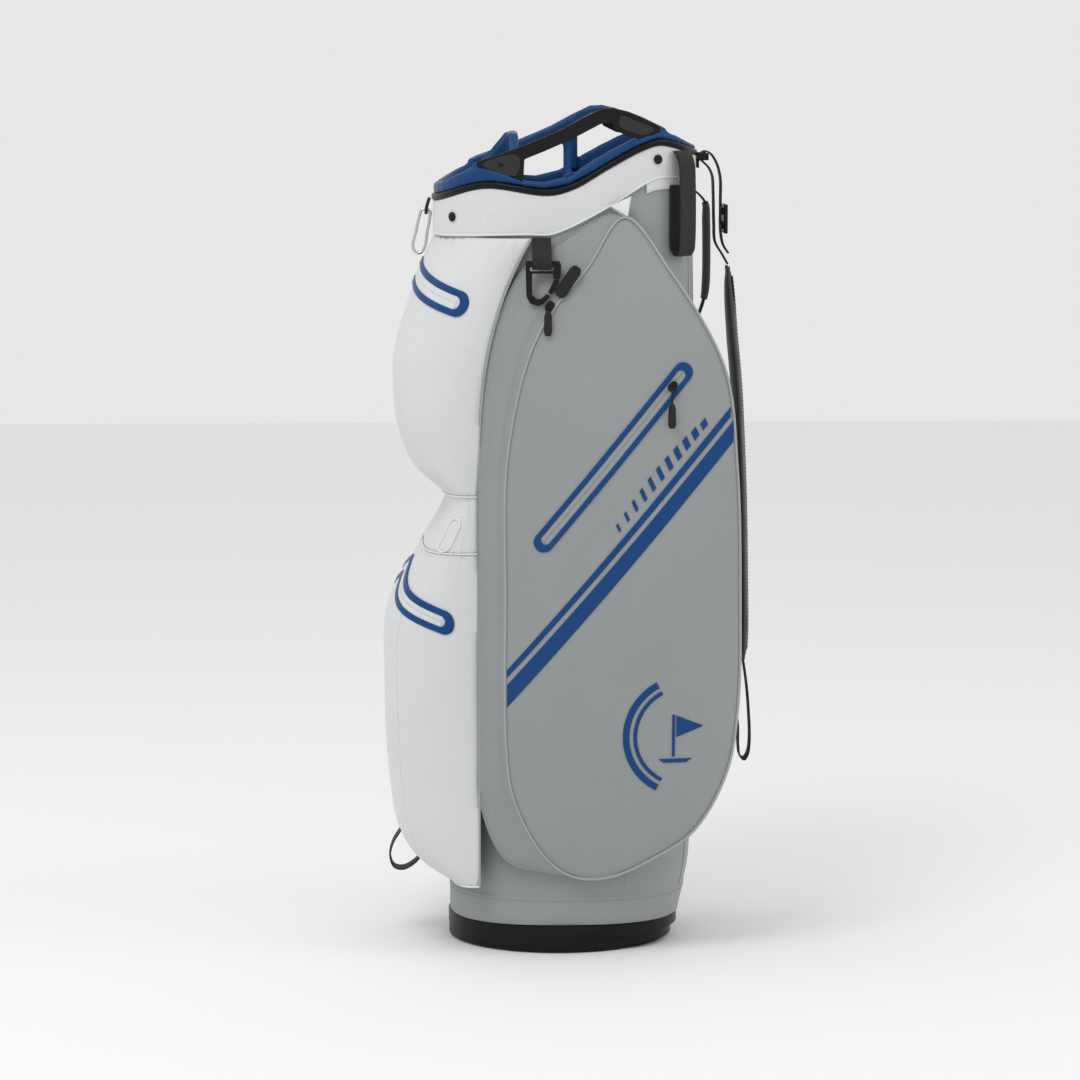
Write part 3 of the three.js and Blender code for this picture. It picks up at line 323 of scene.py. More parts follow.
grey_cloth = woven("grey_cloth", "grey_cloth", (0.26, 0.275, 0.277), (0.3, 0.314, 0.316), 1.7, 0.09)
grey_textured = woven(
    "grey_textured_cloth", "grey_cloth", (0.24, 0.252, 0.256), (0.29, 0.303, 0.308), 2.6, 0.16, 0.6
)
cuff_top = through(
    (-131, 793), (-81, 808), (-17, 801), (11, 808), (45, 828), (79, 846), (102, 852), (142, 839.5)
)
HEM_TOP = 60.5
TUBE_WALL, TUBE_RIPPLE = 3, 0.7


def ramp(v, start, end):
    """0 before the start, 1 past the end, and a straight line between them."""
    return np.clip((v - start) / (end - start), 0, 1)


def ripple(p, size):
    """A small smooth swell of the cloth: a sum of three slow sines of place, size millimetres high."""
    x, y, z = p[..., 0], p[..., 1], p[..., 2]
    waves = (0.021 * z + 0.034 * y + 1.3, 0.037 * x - 0.028 * z + 0.4, 0.051 * y + 0.043 * z + 2.1)
    return sum(np.sin(w) for w in waves) * size / 3


def tube_rows():
    """Rings of the tube from the hem up its outside and down its inside."""
    levels = np.concatenate([[30.4, 31.2, 40, 50, 58.5, 60.2, 61.4], np.linspace(66, 735, 56)])
    outs = np.where(levels < HEM_TOP, 0.9, 0.0)
    outs[0] = 0.2
    wall = tube_wall(levels[:, None], AROUND, outs[:, None])
    swell = ripple(wall, TUBE_RIPPLE) * ramp(levels, 62, 122)[:, None]
    outside = tube_wall(levels[:, None], AROUND, outs[:, None] + swell)
    top = [
        tube_wall(COLLAR, AROUND, out, lambda y, d=drop: cuff_top(y) - d)
        for out, drop in ((0, 1), (-0.8, 0), (-2.2, 0), (-TUBE_WALL, 1))
    ]
    inner = tube_wall(np.array([735, 560, 330, 100, 50, 30.4])[:, None], AROUND, -TUBE_WALL)
    return outside, np.stack(top), inner


outside, top, inner = tube_rows()
tube = Shell().grid(np.concatenate([outside, top[:2]]), around=True)
tube.grid(np.concatenate([top[1:], inner, outside[:1]]), around=True, look=1)
tube.make("tube_cloth", [grey_cloth, lining_cloth], ["tube_shell"])


def stepped(path):
    """The distance gone at each point of a path."""
    return np.append(0, np.cumsum(np.linalg.norm(np.diff(path, axis=0), axis=-1)))


def sample(at, gone, path):
    """The points of a path at some distances along it."""
    return np.stack([np.interp(at, gone, column) for column in path.T], -1)


def unit(v):
    return v / np.linalg.norm(v, axis=-1, keepdims=True)


def square_to(v, ahead):
    """A direction made square to another, at length 1."""
    return unit(v - (v * ahead).sum(-1, keepdims=True) * ahead)


SIDES = 6  # of one stitch
SPINDLE = np.array([(-1, 0.2), (-0.8, 0.8), (0, 1), (0.8, 0.8), (1, 0.2)])  # its rings: place, radius


def stitches(shell, path, out, pitch=3.6, length=2.5, thick=0.28, look=0):
    """A row of stitches: short six-sided spindles laid end to end along a path, half sunk, at equal
    distances."""
    gone = stepped(path)
    at = np.arange(pitch / 2, gone[-1], pitch)
    ahead = unit(sample(at + 0.3, gone, path) - sample(at - 0.3, gone, path))
    away = square_to(sample(at, gone, out), ahead)
    axes = np.stack([ahead, away, np.cross(ahead, away)], 1)
    turn = np.linspace(0, 2 * np.pi, SIDES, endpoint=False)
    x, r = SPINDLE[:, :1] * length / 2, SPINDLE[:, 1:] * thick
    ring = np.stack(np.broadcast_arrays(x, r * np.cos(turn), r * np.sin(turn)), -1).reshape(-1, 3)
    points = sample(at, gone, path)[:, None] + ring @ axes
    each, first = len(ring), len(ring) * np.arange(len(at))[:, None]
    row, col = np.divmod(np.arange(each - SIDES)[:, None], SIDES)
    one = (row + np.array([0, 0, 1, 1])) * SIDES + (col + np.array([0, 1, 1, 0])) % SIDES
    faces = (one + first[:, :, None]).reshape(-1, 4)
    shell.add(points, faces, np.zeros((len(faces) * 4, 2)), look)
    for start in (0, each - SIDES):
        ends = np.arange(SIDES) + start + first
        shell.faces += (ends + shell.count - each * len(at)).tolist()
        shell.flat.append(np.zeros((len(at) * SIDES, 2)))
        shell.looks += [look] * len(at)
    return shell


def outward(path):
    """Directions away from the bag's upright middle line."""
    return path * (1, 1, 0) - (0, 5, 0)


grey_thread = Look("grey_thread", "grey_cloth", Base_Color=(0.2, 0.21, 0.21, 1), Roughness=0.7)
hem = tube_wall(56.5, np.linspace(0, 2 * np.pi, 241), 1.0)
stitches(Shell(), hem, outward(hem)).make("hem_stitches", [grey_thread])

# ------------------------------------------------------------
# Tube seams: the tube's cloth is closed by a lapped seam behind each side pocket, run down to the
# hem, and by the piped edges of the spine panel at the back.


def sweep(path, side, section):
    """A section carried along a path: each of its points stands off the path by its first number
    along the side direction, made square to the path, and by its second along path x side."""
    ahead = unit(np.gradient(path, axis=0))
    side = square_to(np.broadcast_to(np.asarray(side, float), path.shape), ahead)
    other = np.cross(ahead, side)
    section = np.broadcast_to(section, (len(path), *np.shape(section)[-2:]))
    return path[:, None] + section[..., :1] * side[:, None] + section[..., 1:] * other[:, None]


def rod(shell, path, side, section, look=0):
    """A section carried along a path and closed at both ends."""
    return shell.grid(sweep(path, side, section), around=True, caps=True, look=look)


def oval(width, depth, square=2, count=10):
    """A section |s/w|^n + |t/d|^n = 1: round at n = 2 and a soft-edged strip at higher n."""
    turn = np.linspace(0, 2 * np.pi, count, endpoint=False)
    e = 2 / square
    return np.stack([width / 2 * power(np.cos(turn), e), depth / 2 * power(np.sin(turn), e)], -1)


def both(points):
    """A set of points and its mirror image across the bag's middle plane."""
    return [points, points * (-1, 1, 1)]


def piping(shell, path, side, thick=2.4, look=0, closed=False):
    """A piped edge: a round cord in a cloth sleeve along a path."""
    if not closed:
        return rod(shell, path, side, oval(thick, thick), look)
    path = np.concatenate([path[-2:-1], path, path[1:2]])
    side = np.concatenate([side[-2:-1], side, side[1:2]]) if np.ndim(side) > 1 else side
    return shell.grid(sweep(path, side, oval(thick, thick))[1:-2], around=True, over=True, look=look)


# The piping's grey is lighter than the grey cloth it edges: partly the cords' own tone and partly a painted
# highlight for the light that catches the round cords.
piping_grey_painted_highlight = woven(
    "grey_piping_painted_highlight", "grey_cloth", (0.3, 0.315, 0.317), (0.37, 0.383, 0.385), 1.4, 0.08, 0.45, 0.1
)
lap_levels = np.linspace(61, 150, 24)
tube_seams = Shell()
lap_angle = np.arcsin(0.452 ** (SQUARE / 2))
for line in both(tube_wall(lap_levels, lap_angle, 0.1)):
    rod(tube_seams, line, (0, 1, 0), oval(1.6, 0.9, 3))
spine_levels = np.linspace(62, 742, 90)
spine_angle = np.arccos(0.47 ** (SQUARE / 2))
spine_swell = ripple(tube_wall(spine_levels, spine_angle), TUBE_RIPPLE)
for line in both(tube_wall(spine_levels, spine_angle, 0.2 + spine_swell)):
    piping(tube_seams, line, (1, 0, 0), 2.0)
tube_seams.make("tube_seams", [piping_grey_painted_highlight])

# ------------------------------------------------------------
# Cuff: a band of white textured cloth sewn round the tube's mouth and riveted to the divider
# top through four eyelets. A cord is piped into its lower edge and a row of stitches follows it.

cuff_low = through((-131, 757), (-40, 760), (-10, 761), (50, 791), (78, 809), (98, 818), (141, 816.5))
WHITE = (0.6, 0.613, 0.628), (0.67, 0.68, 0.69)
white_textured = woven("white_textured_cloth", "white_cloth", *WHITE, 2.6, 0.15, 0.56)
# The white piping is brighter than the white cloth: partly its own smoother cloth and partly a painted
# highlight for the light along the round cords. The magnet pill and the corner patches share this brighter
# white.
white_smooth_painted_highlight = woven(
    "white_piping_painted_highlight", "white_cloth", (0.66, 0.675, 0.69), (0.74, 0.75, 0.76), 1.4, 0.06, 0.45, 0.1
)


def collar_band(share, out):
    """A line round the collar, at a share of the way up the cuff."""
    return tube_wall(COLLAR, AROUND, out, lambda y: cuff_low(y) * (1 - share) + cuff_top(y) * share)


shares = np.concatenate([[0, 0.0, 0.03, 0.08], np.linspace(0.14, 0.9, 12), [0.95, 0.985, 1, 1]])
edge_rises = [0.4, 1.9, 2.5, 2.7]
rises = np.concatenate([edge_rises, 2.7 + 0.25 * np.sin(np.linspace(0, np.pi, 12)), edge_rises[::-1]])
cuff = Shell().grid(np.stack([collar_band(s, o) for s, o in zip(shares, rises)]), around=True, over=True)
cuff.make("cuff_band", [white_textured], ["cuff"])
round_again = np.append(AROUND, AROUND[:1])


def collar_line(height, out):
    return tube_wall(COLLAR, round_again, out, height)


edge = collar_line(lambda y: cuff_low(y) + 1.2, 2.0)
trim = piping(Shell(), edge, outward(edge), 2.6, closed=True)
for seam in (
    collar_line(lambda y: cuff_low(y) + 4.4, 2.75),
    collar_line(lambda y: cuff_top(y) - 3.5, 2.7),
):
    stitches(trim, seam, outward(seam), 3.4, 2.3, 0.25)
trim.make("cuff_piping", [white_smooth_painted_highlight])

# Behind the side pockets the cuff has a second, lower tier: its facing, folded out and sewn down.
facing_angles = np.linspace(math.radians(31), math.radians(149), 120)


def facing_line(drop, out):
    """A line under the cuff's edge, which fades in from the side pockets' top corners."""
    fade = through((66, 0.02), (82, 1), (141, 1))
    return tube_wall(COLLAR, facing_angles, out, lambda y: cuff_low(y) - drop * fade(y))


facing_rows = [(-2, 0.3), (-2, 1.4), (4, 1.8), (9, 1.7), (10.4, 1.2), (10.4, 0.2)]
facing = Shell().grid(np.stack([facing_line(d, o) for d, o in facing_rows]), over=True)
facing.make("cuff_facing", [white_textured])

# ------------------------------------------------------------
# Gasket: a black extruded rubber bead pinched between the cuff and the divider top.
# Its face is gently rounded, with a fine parting line.

GASKET = [  # height above the cuff and distance out
    (0.4, -3), (0.4, 2.6), (1.2, 3.9), (2.6, 4.3), (3.5, 4.15), (4.4, 4.3), (5.8, 3.9), (6.9, 2.6), (6.9, -3),
]
bead = Shell().grid(
    np.stack([tube_wall(COLLAR, AROUND, out, lambda y, h=h: cuff_top(y) + h) for h, out in GASKET]),
    around=True, over=True,
)
bead.make("gasket_bead", [rubber], ["collar_gasket"], crease=50)

# ------------------------------------------------------------
# Divider top: one navy moulding with the rim, the bars between fourteen wells, a raised bridge
# and two lift handles. Every edge is radiused, and the rim shows a light moulded grain.


def evaluated(obj):
    """The mesh that an object's modifiers make."""
    return bpy.data.meshes.new_from_object(obj.evaluated_get(bpy.context.evaluated_depsgraph_get()))


def softened(name, node, look, voxel, passes, body="bag"):
    """A solid's own shape with moulded edges: its skin is rebuilt at a fine voxel, in metres, then
    each point moves half way towards its neighbours' middle a few times."""
    work = bmesh.new()
    work.from_mesh(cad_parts[node].data)
    bmesh.ops.remove_doubles(work, verts=work.verts, dist=1e-6)
    mesh = bpy.data.meshes.new(name)
    work.to_mesh(mesh)
    work.free()
    obj = bpy.data.objects.new(name, mesh)
    bpy.context.scene.collection.objects.link(obj)
    for kind, settings in (
        ("REMESH", {"mode": "VOXEL", "voxel_size": voxel, "use_smooth_shade": True}),
        ("SMOOTH", {"factor": 0.5, "iterations": passes}),
    ):
        modifier = obj.modifiers.new(kind.title(), kind)
        for key, value in settings.items():
            setattr(modifier, key, value)
    bpy.context.view_layer.update()
    final = evaluated(obj)
    obj.modifiers.clear()
    obj.data = final
    bpy.data.meshes.remove(mesh)
    final.name = name
    final.materials.clear()
    final.materials.append(look.material)
    settle(obj, look.slot, [node], body)


navy = moulded("navy_moulding", "blue_moulding", (0.006, 0.042, 0.14), (0.009, 0.055, 0.17), 0.36, 0.1, 620)
softened("divider_moulding", "divider_top", navy, 0.0019, 7)

# ------------------------------------------------------------
# Grips: a black over-moulded frame clipped to the outside of each lift handle, with a shaped
# plate at each end. Each plate carries a raised textured pad with a rounded border.

black_plastic = moulded(
    "black_plastic", "black_plastic", (0.006, 0.006, 0.0065), (0.012, 0.012, 0.0125), 0.32, 0.1, 800
)
pad_plastic = moulded(
    "stippled_plastic", "black_plastic", (0.022, 0.021, 0.021), (0.04, 0.039, 0.038), 0.5, 0.5, 520
)
PLATES = [  # the raised pads' outlines, as depth and height
    [(-84, 832.6), (-50, 821.8), (-45.5, 838.5), (-52, 843.6)],
    [(57.5, 873), (68, 867), (84, 863), (94, 869), (76, 877.5), (59, 883)],
]


def smooth_path(points, count, closed=False):
    """A smooth curve through points, at equal distances: a centripetal spline, whose knots stand apart
    by the square root of the distance, so that it never loops at a close pair."""
    p = np.asarray(points, float)
    if closed:
        p = np.concatenate([p[-1:], p, p[:2]])
    else:
        p = np.concatenate([2 * p[:1] - p[1:2], p, 2 * p[-1:] - p[-2:-1]])
    a, b, c, d = p[:-3], p[1:-2], p[2:-1], p[3:]
    knots = np.linalg.norm(np.diff(p, axis=0), axis=-1, keepdims=True) ** 0.5
    t0, t1, t2 = knots[:-2], knots[1:-1], knots[2:]
    m1 = ((b - a) / t0 - (c - a) / (t0 + t1) + (c - b) / t1) * t1
    m2 = ((c - b) / t1 - (d - b) / (t1 + t2) + (d - c) / t2) * t1
    s = np.linspace(0, 1, 24, endpoint=False)[:, None, None]
    curve = (2 * b - 2 * c + m1 + m2) * s**3 + (-3 * b + 3 * c - 2 * m1 - m2) * s**2 + m1 * s + b
    curve = np.concatenate([curve.transpose(1, 0, 2).reshape(-1, p.shape[1]), p[-2:-1]])
    gone = stepped(curve)
    return sample(np.linspace(0, gone[-1], count), gone, curve)


def raised_plate(shell, outline, place, height, inset):
    """A pad standing off a surface: its outline, rounded, then the same drawn in by a share at full
    height, so that its edge is chamfered."""
    ring = smooth_path(outline, 65, closed=True)[:-1]
    middle = ring.mean(0)
    draw_in = inset / np.linalg.norm(ring - middle, axis=-1).mean()
    rows = [(1, 0), (1, height * 0.5), (1 - draw_in * 0.4, height * 0.9), (1 - draw_in, height)]
    shell.grid(np.stack([place(middle + (ring - middle) * s, h) for s, h in rows]), around=True, caps=True)


def grip_face(flat, height):
    """A point on the grip's outer face: depth and height, moved outwards."""
    y, z = flat[..., 0], flat[..., 1]
    return np.stack([across_tube(y, COLLAR) + 0.4 + height, y, z], -1)


for side, sign in (("right", 1), ("left", -1)):
    softened(f"grip_frame_{side}", f"handle_grip_{side}", black_plastic, 0.0008, 4)
    pads = Shell()
    for outline in PLATES:
        raised_plate(pads, outline, lambda f, h: grip_face(f, h) * (sign, 1, 1), 0.9, 1.6)
    pads.make(f"grip_pads_{side}", [pad_plastic], crease=50)

# ------------------------------------------------------------
# Rivets: black push rivets with a domed head, through the cuff into the divider top.

for place in ("front", "rear"):
    for side in ("right", "left"):
        softened(f"rivet_head_{place}_{side}", f"rivet_{place}_{side}", black_plastic, 0.0004, 3)

# ------------------------------------------------------------
# Stays: drawn alloy strips in pockets of the lining that hold the tube straight. Only their
# ends can be glimpsed down the wells, so the solids keep their shape and get a drawn finish.

alloy = Look("drawn_alloy", Metallic=1.0)
streaks = alloy.noise(60, 4, 0.6, (40, 40, 1))
alloy.finish(
    Base_Color=alloy.tint(streaks, (0.5, 0.51, 0.52), (0.66, 0.67, 0.68)),
    Roughness=0.3 + streaks * 0.2,
    Normal=alloy.relief(streaks * 0.05, 0.4),
)
for node in ("spine_stay", "side_stay_right", "side_stay_left"):
    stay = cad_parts[node].data
    stay.materials.clear()
    stay.materials.append(alloy.material)

# ------------------------------------------------------------
# Divider sheets: full-length curtains of dark fleece-backed nylon that hang from the bars of the
# divider top to the base pad, sewn to each other where they cross. Each has a bound top edge.

CROSS_BARS = (-50, 0, 47, 92)
LONG_BARS = (-36, 36)
SHEET_LOW, SHEET_HIGH = 12.8, 780.0
ROOM = 9  # from the tube's face in to the nearest edge of a sheet
CROSSING = 97  # how far back the long sheets reach


def curtain(name, node, across, at):
    """A hanging sheet: it fills its width at each height and waves as two slow sines, more midway
    between the seams where it is held; two faces 1.4 mm apart and a thicker bound top edge."""
    z = np.append(np.linspace(SHEET_LOW, SHEET_HIGH - 14, 60), SHEET_HIGH - np.array([13, 7, 1, 0]))[:, None]
    low, high = across(z)
    place = low + (high - low) * np.linspace(0, 1, 48)
    sag = np.sin((z - SHEET_LOW) / (SHEET_HIGH - SHEET_LOW) * np.pi)
    wave = 1.6 * np.sin(place * 2 * np.pi / 72 + z * 0.004) * np.sin(z * 0.011 + place * 0.02) * sag
    bound = np.where(z > SHEET_HIGH - 13.5, 1.3, 0.7)
    faces = [at(place, wave + side * bound, z + 0 * place) for side in (-1, 1)]
    width = float((high - low).max())
    loop = np.concatenate([faces[0], faces[1][:, ::-1]], 1)
    obj = Shell().grid(loop, around=True, caps=True).make(name, [lining_cloth], [node], crease=70)


def long_ends(x, z):
    """A long sheet's front and back ends at a height."""
    back, front = tube_back(z), tube_front(z)
    share = abs(x) / (half_width(z) - ROOM)
    reach = ((back - front) / 2 - ROOM) * (1 - share**SQUARE) ** (1 / SQUARE)
    return (back + front) / 2 - reach, 0 * z + CROSSING


for i, y in enumerate(CROSS_BARS, 1):
    curtain(
        f"cross_curtain_{i}", f"cross_sheet_{i}",
        lambda z: (-across_tube(y, z, ROOM), across_tube(y, z, ROOM)),
        lambda s, w, z: np.stack([s, y + w, z], -1),
    )
for i, x in enumerate(LONG_BARS, 1):
    curtain(
        f"long_curtain_{i}", f"long_sheet_{i}",
        lambda z: long_ends(x, z), lambda s, w, z: np.stack([x + w, s, z], -1),
    )
curtain(
    "back_curtain", "back_sheet",
    lambda z: (0 * z + 93.5, np.minimum(tube_back(z) - ROOM, 128)),
    lambda s, w, z: np.stack([w * 0.3, s, z], -1),
)

# ------------------------------------------------------------
# White front: three pockets of white coated cloth, one above another, sewn to the tube along two
# upright seams. The ball pocket below and the upper pocket swell out, and the waist is drawn in.

pocket_front = through(
    (73, -117), (91, -149), (112, -168), (147, -180), (299, -188.5), (365, -181.5), (428, -147), (472, -122),
    (488, -126), (515, -156), (558, -174), (601, -177), (641, -174), (708, -154.5), (755, -134),
)
pocket_half = through((73, 113), (147, 118), (484, 118), (735, 121))
pocket_square = through((560, 3.5), (755, 2))


def seam_depth(z):
    """Where the white front meets the grey sides: straight, then swinging back as a cube."""
    return -89 + 54 * np.maximum(0, (z - 484) / (COLLAR - 484)) ** 3


def front_wall(z, angle, out=0.0):
    """The white front at a height: half of |x/w|^n + |(seam - y)/depth|^n = 1, from seam to seam."""
    z, angle, out = (np.asarray(v, float) for v in (z, angle, out))
    e = 2 / pocket_square(z)
    seam = seam_depth(z) + out
    x = (pocket_half(z) + out) * power(np.cos(angle), e)
    y = seam - (seam - pocket_front(z) + out) * np.abs(np.sin(angle)) ** e
    return np.stack(np.broadcast_arrays(x, y, z), -1)


FRONT_LEVELS = np.arange(60, 802, 2.0)
FRONT_REACH = np.arange(-220, 221, 1.0)


def reach_table():
    """Each level's outline by distance from its middle line, from its lengths summed at fine steps."""
    fine = np.linspace(0, np.pi, 481)
    table = []
    for line in front_wall(FRONT_LEVELS[:, None], fine):
        gone = stepped(line)
        table.append(sample(FRONT_REACH, (gone[-1] / 2 - gone)[::-1], line[::-1, :2]))
    return np.array(table)


front_table = reach_table()


def front_at(reach, z, out=0.0):
    """A point on the white front by its distance from the middle line and its height, moved outwards
    along the surface's own normal; between the table's entries it is a straight mean."""
    def look_up(s, h):
        i = np.clip((h - FRONT_LEVELS[0]) / 2, 0, len(FRONT_LEVELS) - 1.001)
        j = np.clip(s - FRONT_REACH[0], 0, len(FRONT_REACH) - 1.001)
        i0, j0 = i.astype(int), j.astype(int)
        di, dj = (i - i0)[..., None], (j - j0)[..., None]
        low = front_table[i0, j0] * (1 - dj) + front_table[i0, j0 + 1] * dj
        high = front_table[i0 + 1, j0] * (1 - dj) + front_table[i0 + 1, j0 + 1] * dj
        return np.concatenate([low * (1 - di) + high * di, h[..., None]], -1)

    reach, z, out = np.broadcast_arrays(*(np.asarray(v, float) for v in (reach, z, out)))
    across = look_up(reach + 2, z) - look_up(reach - 2, z)
    rise = look_up(reach, z + 3) - look_up(reach, z - 3)
    normal = unit(np.cross(rise, across))
    return look_up(reach, z) - normal * out[..., None] * np.sign(normal[..., 1:2])


BALL_LOW, WAIST_LOW, WAIST_HIGH, FRONT_HIGH = 73, 428, 488, 757  # the front pockets' level seams


def full(z, angle, low, high):
    """How far the cloth swells beyond its outline: pinched within a few millimetres of its seams,
    with slow ripples, and short puckers along the level seams."""
    edge = np.minimum(z - low, high - z)
    pinch = -1.5 * np.exp(-np.maximum(edge, 0) / 3.0) - 0.8 * np.exp(-np.minimum(angle, np.pi - angle) / 0.03)
    pucker = 0.5 * np.sin(angle * 46) * np.exp(-np.maximum(edge, 0) / 14.0)
    return pinch + pucker + ripple(front_wall(z, angle), 1.0)


white_cloth = woven("white_cloth", "white_cloth", *WHITE, 1.8, 0.08, 0.55, 0.3)
wall_angles = np.linspace(0, np.pi, 180)


def white_pocket(name, node, low, high, look, rows):
    """A pocket's cloth between two seams, tucked in to the tube at its ends, 1.2 mm thick."""
    z = np.linspace(low, high, rows)[:, None]
    skin = front_wall(z, wall_angles, full(z, wall_angles, low, high))
    tuck = [front_wall(z, np.array([a]), -4) + (0, 5, 0) for a in (0.0, np.pi)]
    cloth = Shell().grid(np.concatenate([tuck[0], skin, tuck[1]], 1))
    cloth = cloth.make(name, [look], [node], open_edge=True)
    wall = cloth.modifiers.new("Wall", "SOLIDIFY")
    wall.thickness, wall.offset = 0.0012, -1


white_pocket("ball_pocket_cloth", "lower_ball_pocket", BALL_LOW, WAIST_LOW, white_cloth, 120)
white_pocket("waist_pocket_cloth", "waist_pocket", WAIST_LOW, WAIST_HIGH, white_cloth, 40)
white_pocket("upper_pocket_cloth", "upper_front_pocket", WAIST_HIGH, FRONT_HIGH, white_textured, 100)

# The white front's seams: a piped cord up each side, lapped seams above and below the waist, and
# the ball pocket's front face outlined by a piped seam.
front_seams = Shell()
levels = np.linspace(74, 756, 160)
for line in both(front_wall(levels, 0.0, 0.4)):
    piping(front_seams, line, (1, 0, 0), 2.4, look=1)
for level, thick in ((WAIST_LOW, 1.9), (WAIST_HIGH, 1.9), (BALL_LOW + 0.6, 2.4)):
    line = front_wall(level, wall_angles)
    piping(front_seams, line, outward(line), thick)
    if level >= WAIST_LOW:
        row = front_wall(level - 4, wall_angles[4:-4], 0.1)
        stitches(front_seams, row, outward(row), 3.6, 2.4, 0.24)
face_z = np.linspace(96, 396, 120)
face_angle = np.arccos((90 / pocket_half(face_z)) ** (pocket_square(face_z) / 2))
for turn in (face_angle, np.pi - face_angle):
    line = front_wall(face_z, turn, full(face_z, turn, BALL_LOW, WAIST_LOW) + 0.2)
    piping(front_seams, line, outward(line), 1.9)
front_seams.make("front_seams", [white_smooth_painted_highlight, piping_grey_painted_highlight])

# ------------------------------------------------------------
# Front zips: a weatherproof zip in each of the two big pockets, climbing round the front. Navy
# film is welded round it in a long ring, and two lips of coated tape meet along its middle.

FRONT_ZIPS = (  # height amid and at the ends, reach to each side, half width, and the lips' cloth
    ("upper", 720, 686, 143, 13, white_textured),
    ("lower", 402, 352, 158, 12, white_cloth),
)
navy_film = moulded("navy_film", "blue_tape", (0.006, 0.05, 0.172), (0.008, 0.058, 0.195), 0.4, 0.04, 500)


def stadium(start, end, radius, count=48):
    """A long ring round a straight stretch: half circles about its two ends, joined by lines."""
    turn = np.linspace(-np.pi / 2, np.pi / 2, count)
    right = np.stack([end + radius * np.cos(turn), radius * np.sin(turn)], -1)
    left = np.stack([start - radius * np.cos(turn), -radius * np.sin(turn)], -1)
    t = np.linspace(0, 1, 62)[1:-1, None]
    return np.concatenate([right, right[-1] * (1 - t) + left[0] * t, left, left[-1] * (1 - t) + right[0] * t])


def welded_ring(shell, outer, inner, place, low, high):
    """Film between two outlines of equal length: up its outer edge, across and down its inner edge."""
    rows = [(0, low), (0, high - 0.3), (0.08, high), (0.92, high), (1, high - 0.3), (1, low)]
    points = np.stack([place(outer * (1 - t) + inner * t, h) for t, h in rows])
    shell.grid(points, around=True, over=True)


def zip_lips(shell, start, end, half, place, low, high):
    """Two flat lips either side of the zip's middle line, a hair apart and rounded where they meet."""
    s = np.linspace(start, end, 90)
    rows = [
        (half, low), (half, high - 0.2), (half * 0.6, high), (1.1, high), (0.35, high - 0.35), (0.35, low),
    ]
    for sign in (-1, 1):
        flat = [(np.stack([s, np.full_like(s, sign * w)], -1), h) for w, h in rows]
        shell.grid(np.stack([place(f, h) for f, h in flat], 1), around=True, caps=True, look=1)


for name, mid, end, reach, half, lip_look in FRONT_ZIPS:
    def on_front(flat, height):
        s = flat[..., 0]
        z = mid - (mid - end) * (np.abs(s) / reach) ** 1.15
        return front_at(s, z + flat[..., 1], height)

    straight = reach - half + 1
    outer, inner = stadium(-straight, straight, half), stadium(4 - straight, straight - 4, half - 6.5)
    ring = Shell()
    welded_ring(ring, outer, inner, on_front, -1.5, 1.3)
    zip_lips(ring, 2 - straight, straight - 2, half - 6, on_front, -1.6, 0.5)
    ring.make(f"{name}_zip_ring", [navy_film, lip_look], [f"{name}_zip"], crease=50)

# The waist pocket's closing magnet shows as a raised pill welded into the cloth on the clip's side.
pill = Shell()
welded_ring(
    pill, stadium(-9, 9, 9.5), stadium(-9, 9, 7.6),
    lambda f, h: front_at(112 + f[..., 1], 447 + f[..., 0], h), -1.6, 1.6,
)
pill.make("waist_magnet_pill", [white_smooth_painted_highlight])

# ------------------------------------------------------------
# Side pockets: a big crowned panel of grey cloth on each side, piped all round, with a gusset
# behind it that opens along a covered zip. Printed navy film stripes cross the panel.

POCKET_EDGE = [  # the panel's edge and the gusset's landing, as depth and height
    (63, 779, 60, 783), (23, 727, -12, 748), (-7, 692, -45, 722), (-36, 640, -74, 655), (-60, 530, -89, 530),
    (-62, 384, -90, 384), (-61, 223, -90, 223), (-53, 170, -88, 165), (-23, 111, -60, 103), (8, 86, -10, 88),
    (50, 85, 50, 88), (91, 104, 88, 106), (135, 134, 124, 138), (170, 195, 155, 200), (182, 262, 163, 265),
    (184, 383, 165, 385), (180, 520, 162, 520), (166, 624, 150, 628), (109, 724, 104, 730),
]
PANEL_MIDDLE = np.array([61, 432])


def panel_x(y, z):
    """How far out the side panel stands: a crown that falls off as squares of depth and height, on
    the collar's half width plus 5."""
    t = (y - PANEL_MIDDLE[0]) / 123
    w = np.minimum(1, np.abs((z - PANEL_MIDDLE[1]) / 350))
    return 122 + (26 * (2 - t * t) - 9 * (1 + t)) * (1 - w * w)


def on_panel(flat, height=0.0):
    """A point on the right-hand panel by depth and height, moved outwards."""
    y, z = flat[..., 0], flat[..., 1]
    return np.stack(np.broadcast_arrays(panel_x(y, z) + height, y, z), -1)


def panel_swell(p):
    """The panel's cloth sags in slow waves, hardly standing above its drawn line."""
    return ripple(p, 0.5) - 0.35


def landing_x(y):
    """How far out the gusset lands at a depth, drawn in smoothly round the tube's back corner."""
    t = ramp(y, 40, 150)
    return 118 - 22 * t**2 * (3 - 2 * t)


edges = smooth_path(POCKET_EDGE, 265, closed=True)[:-1]
panel_edge, landing = edges[:, :2], edges[:, 2:]
shares = np.concatenate([[0.01], np.linspace(0.05, 0.9, 30), [0.94, 0.965, 0.98, 0.99, 1.0]])[:, None, None]
panel_flat = PANEL_MIDDLE * (1 - shares) + panel_edge * shares
from_edge = 1 - shares[..., 0]
swell = panel_swell(on_panel(panel_flat)) * ramp(from_edge, 0, 0.12)
panel_points = on_panel(panel_flat, swell - 1.6 * np.exp(-from_edge / 0.012))
panel_uv = np.concatenate([panel_flat, panel_flat[:, :1]], 1)
landing_points = np.column_stack([landing_x(landing[:, 0]), landing])
rim = on_panel(panel_edge)
inward = landing_points - rim
inward[:, 0] = 0
inward /= np.maximum(np.linalg.norm(inward, axis=-1, keepdims=True), 1)
edge_y, edge_z = panel_edge.T
facing_front = ramp(edge_y, 20, -10) * ramp(edge_z, 125, 165) * ramp(edge_z, 705, 675)


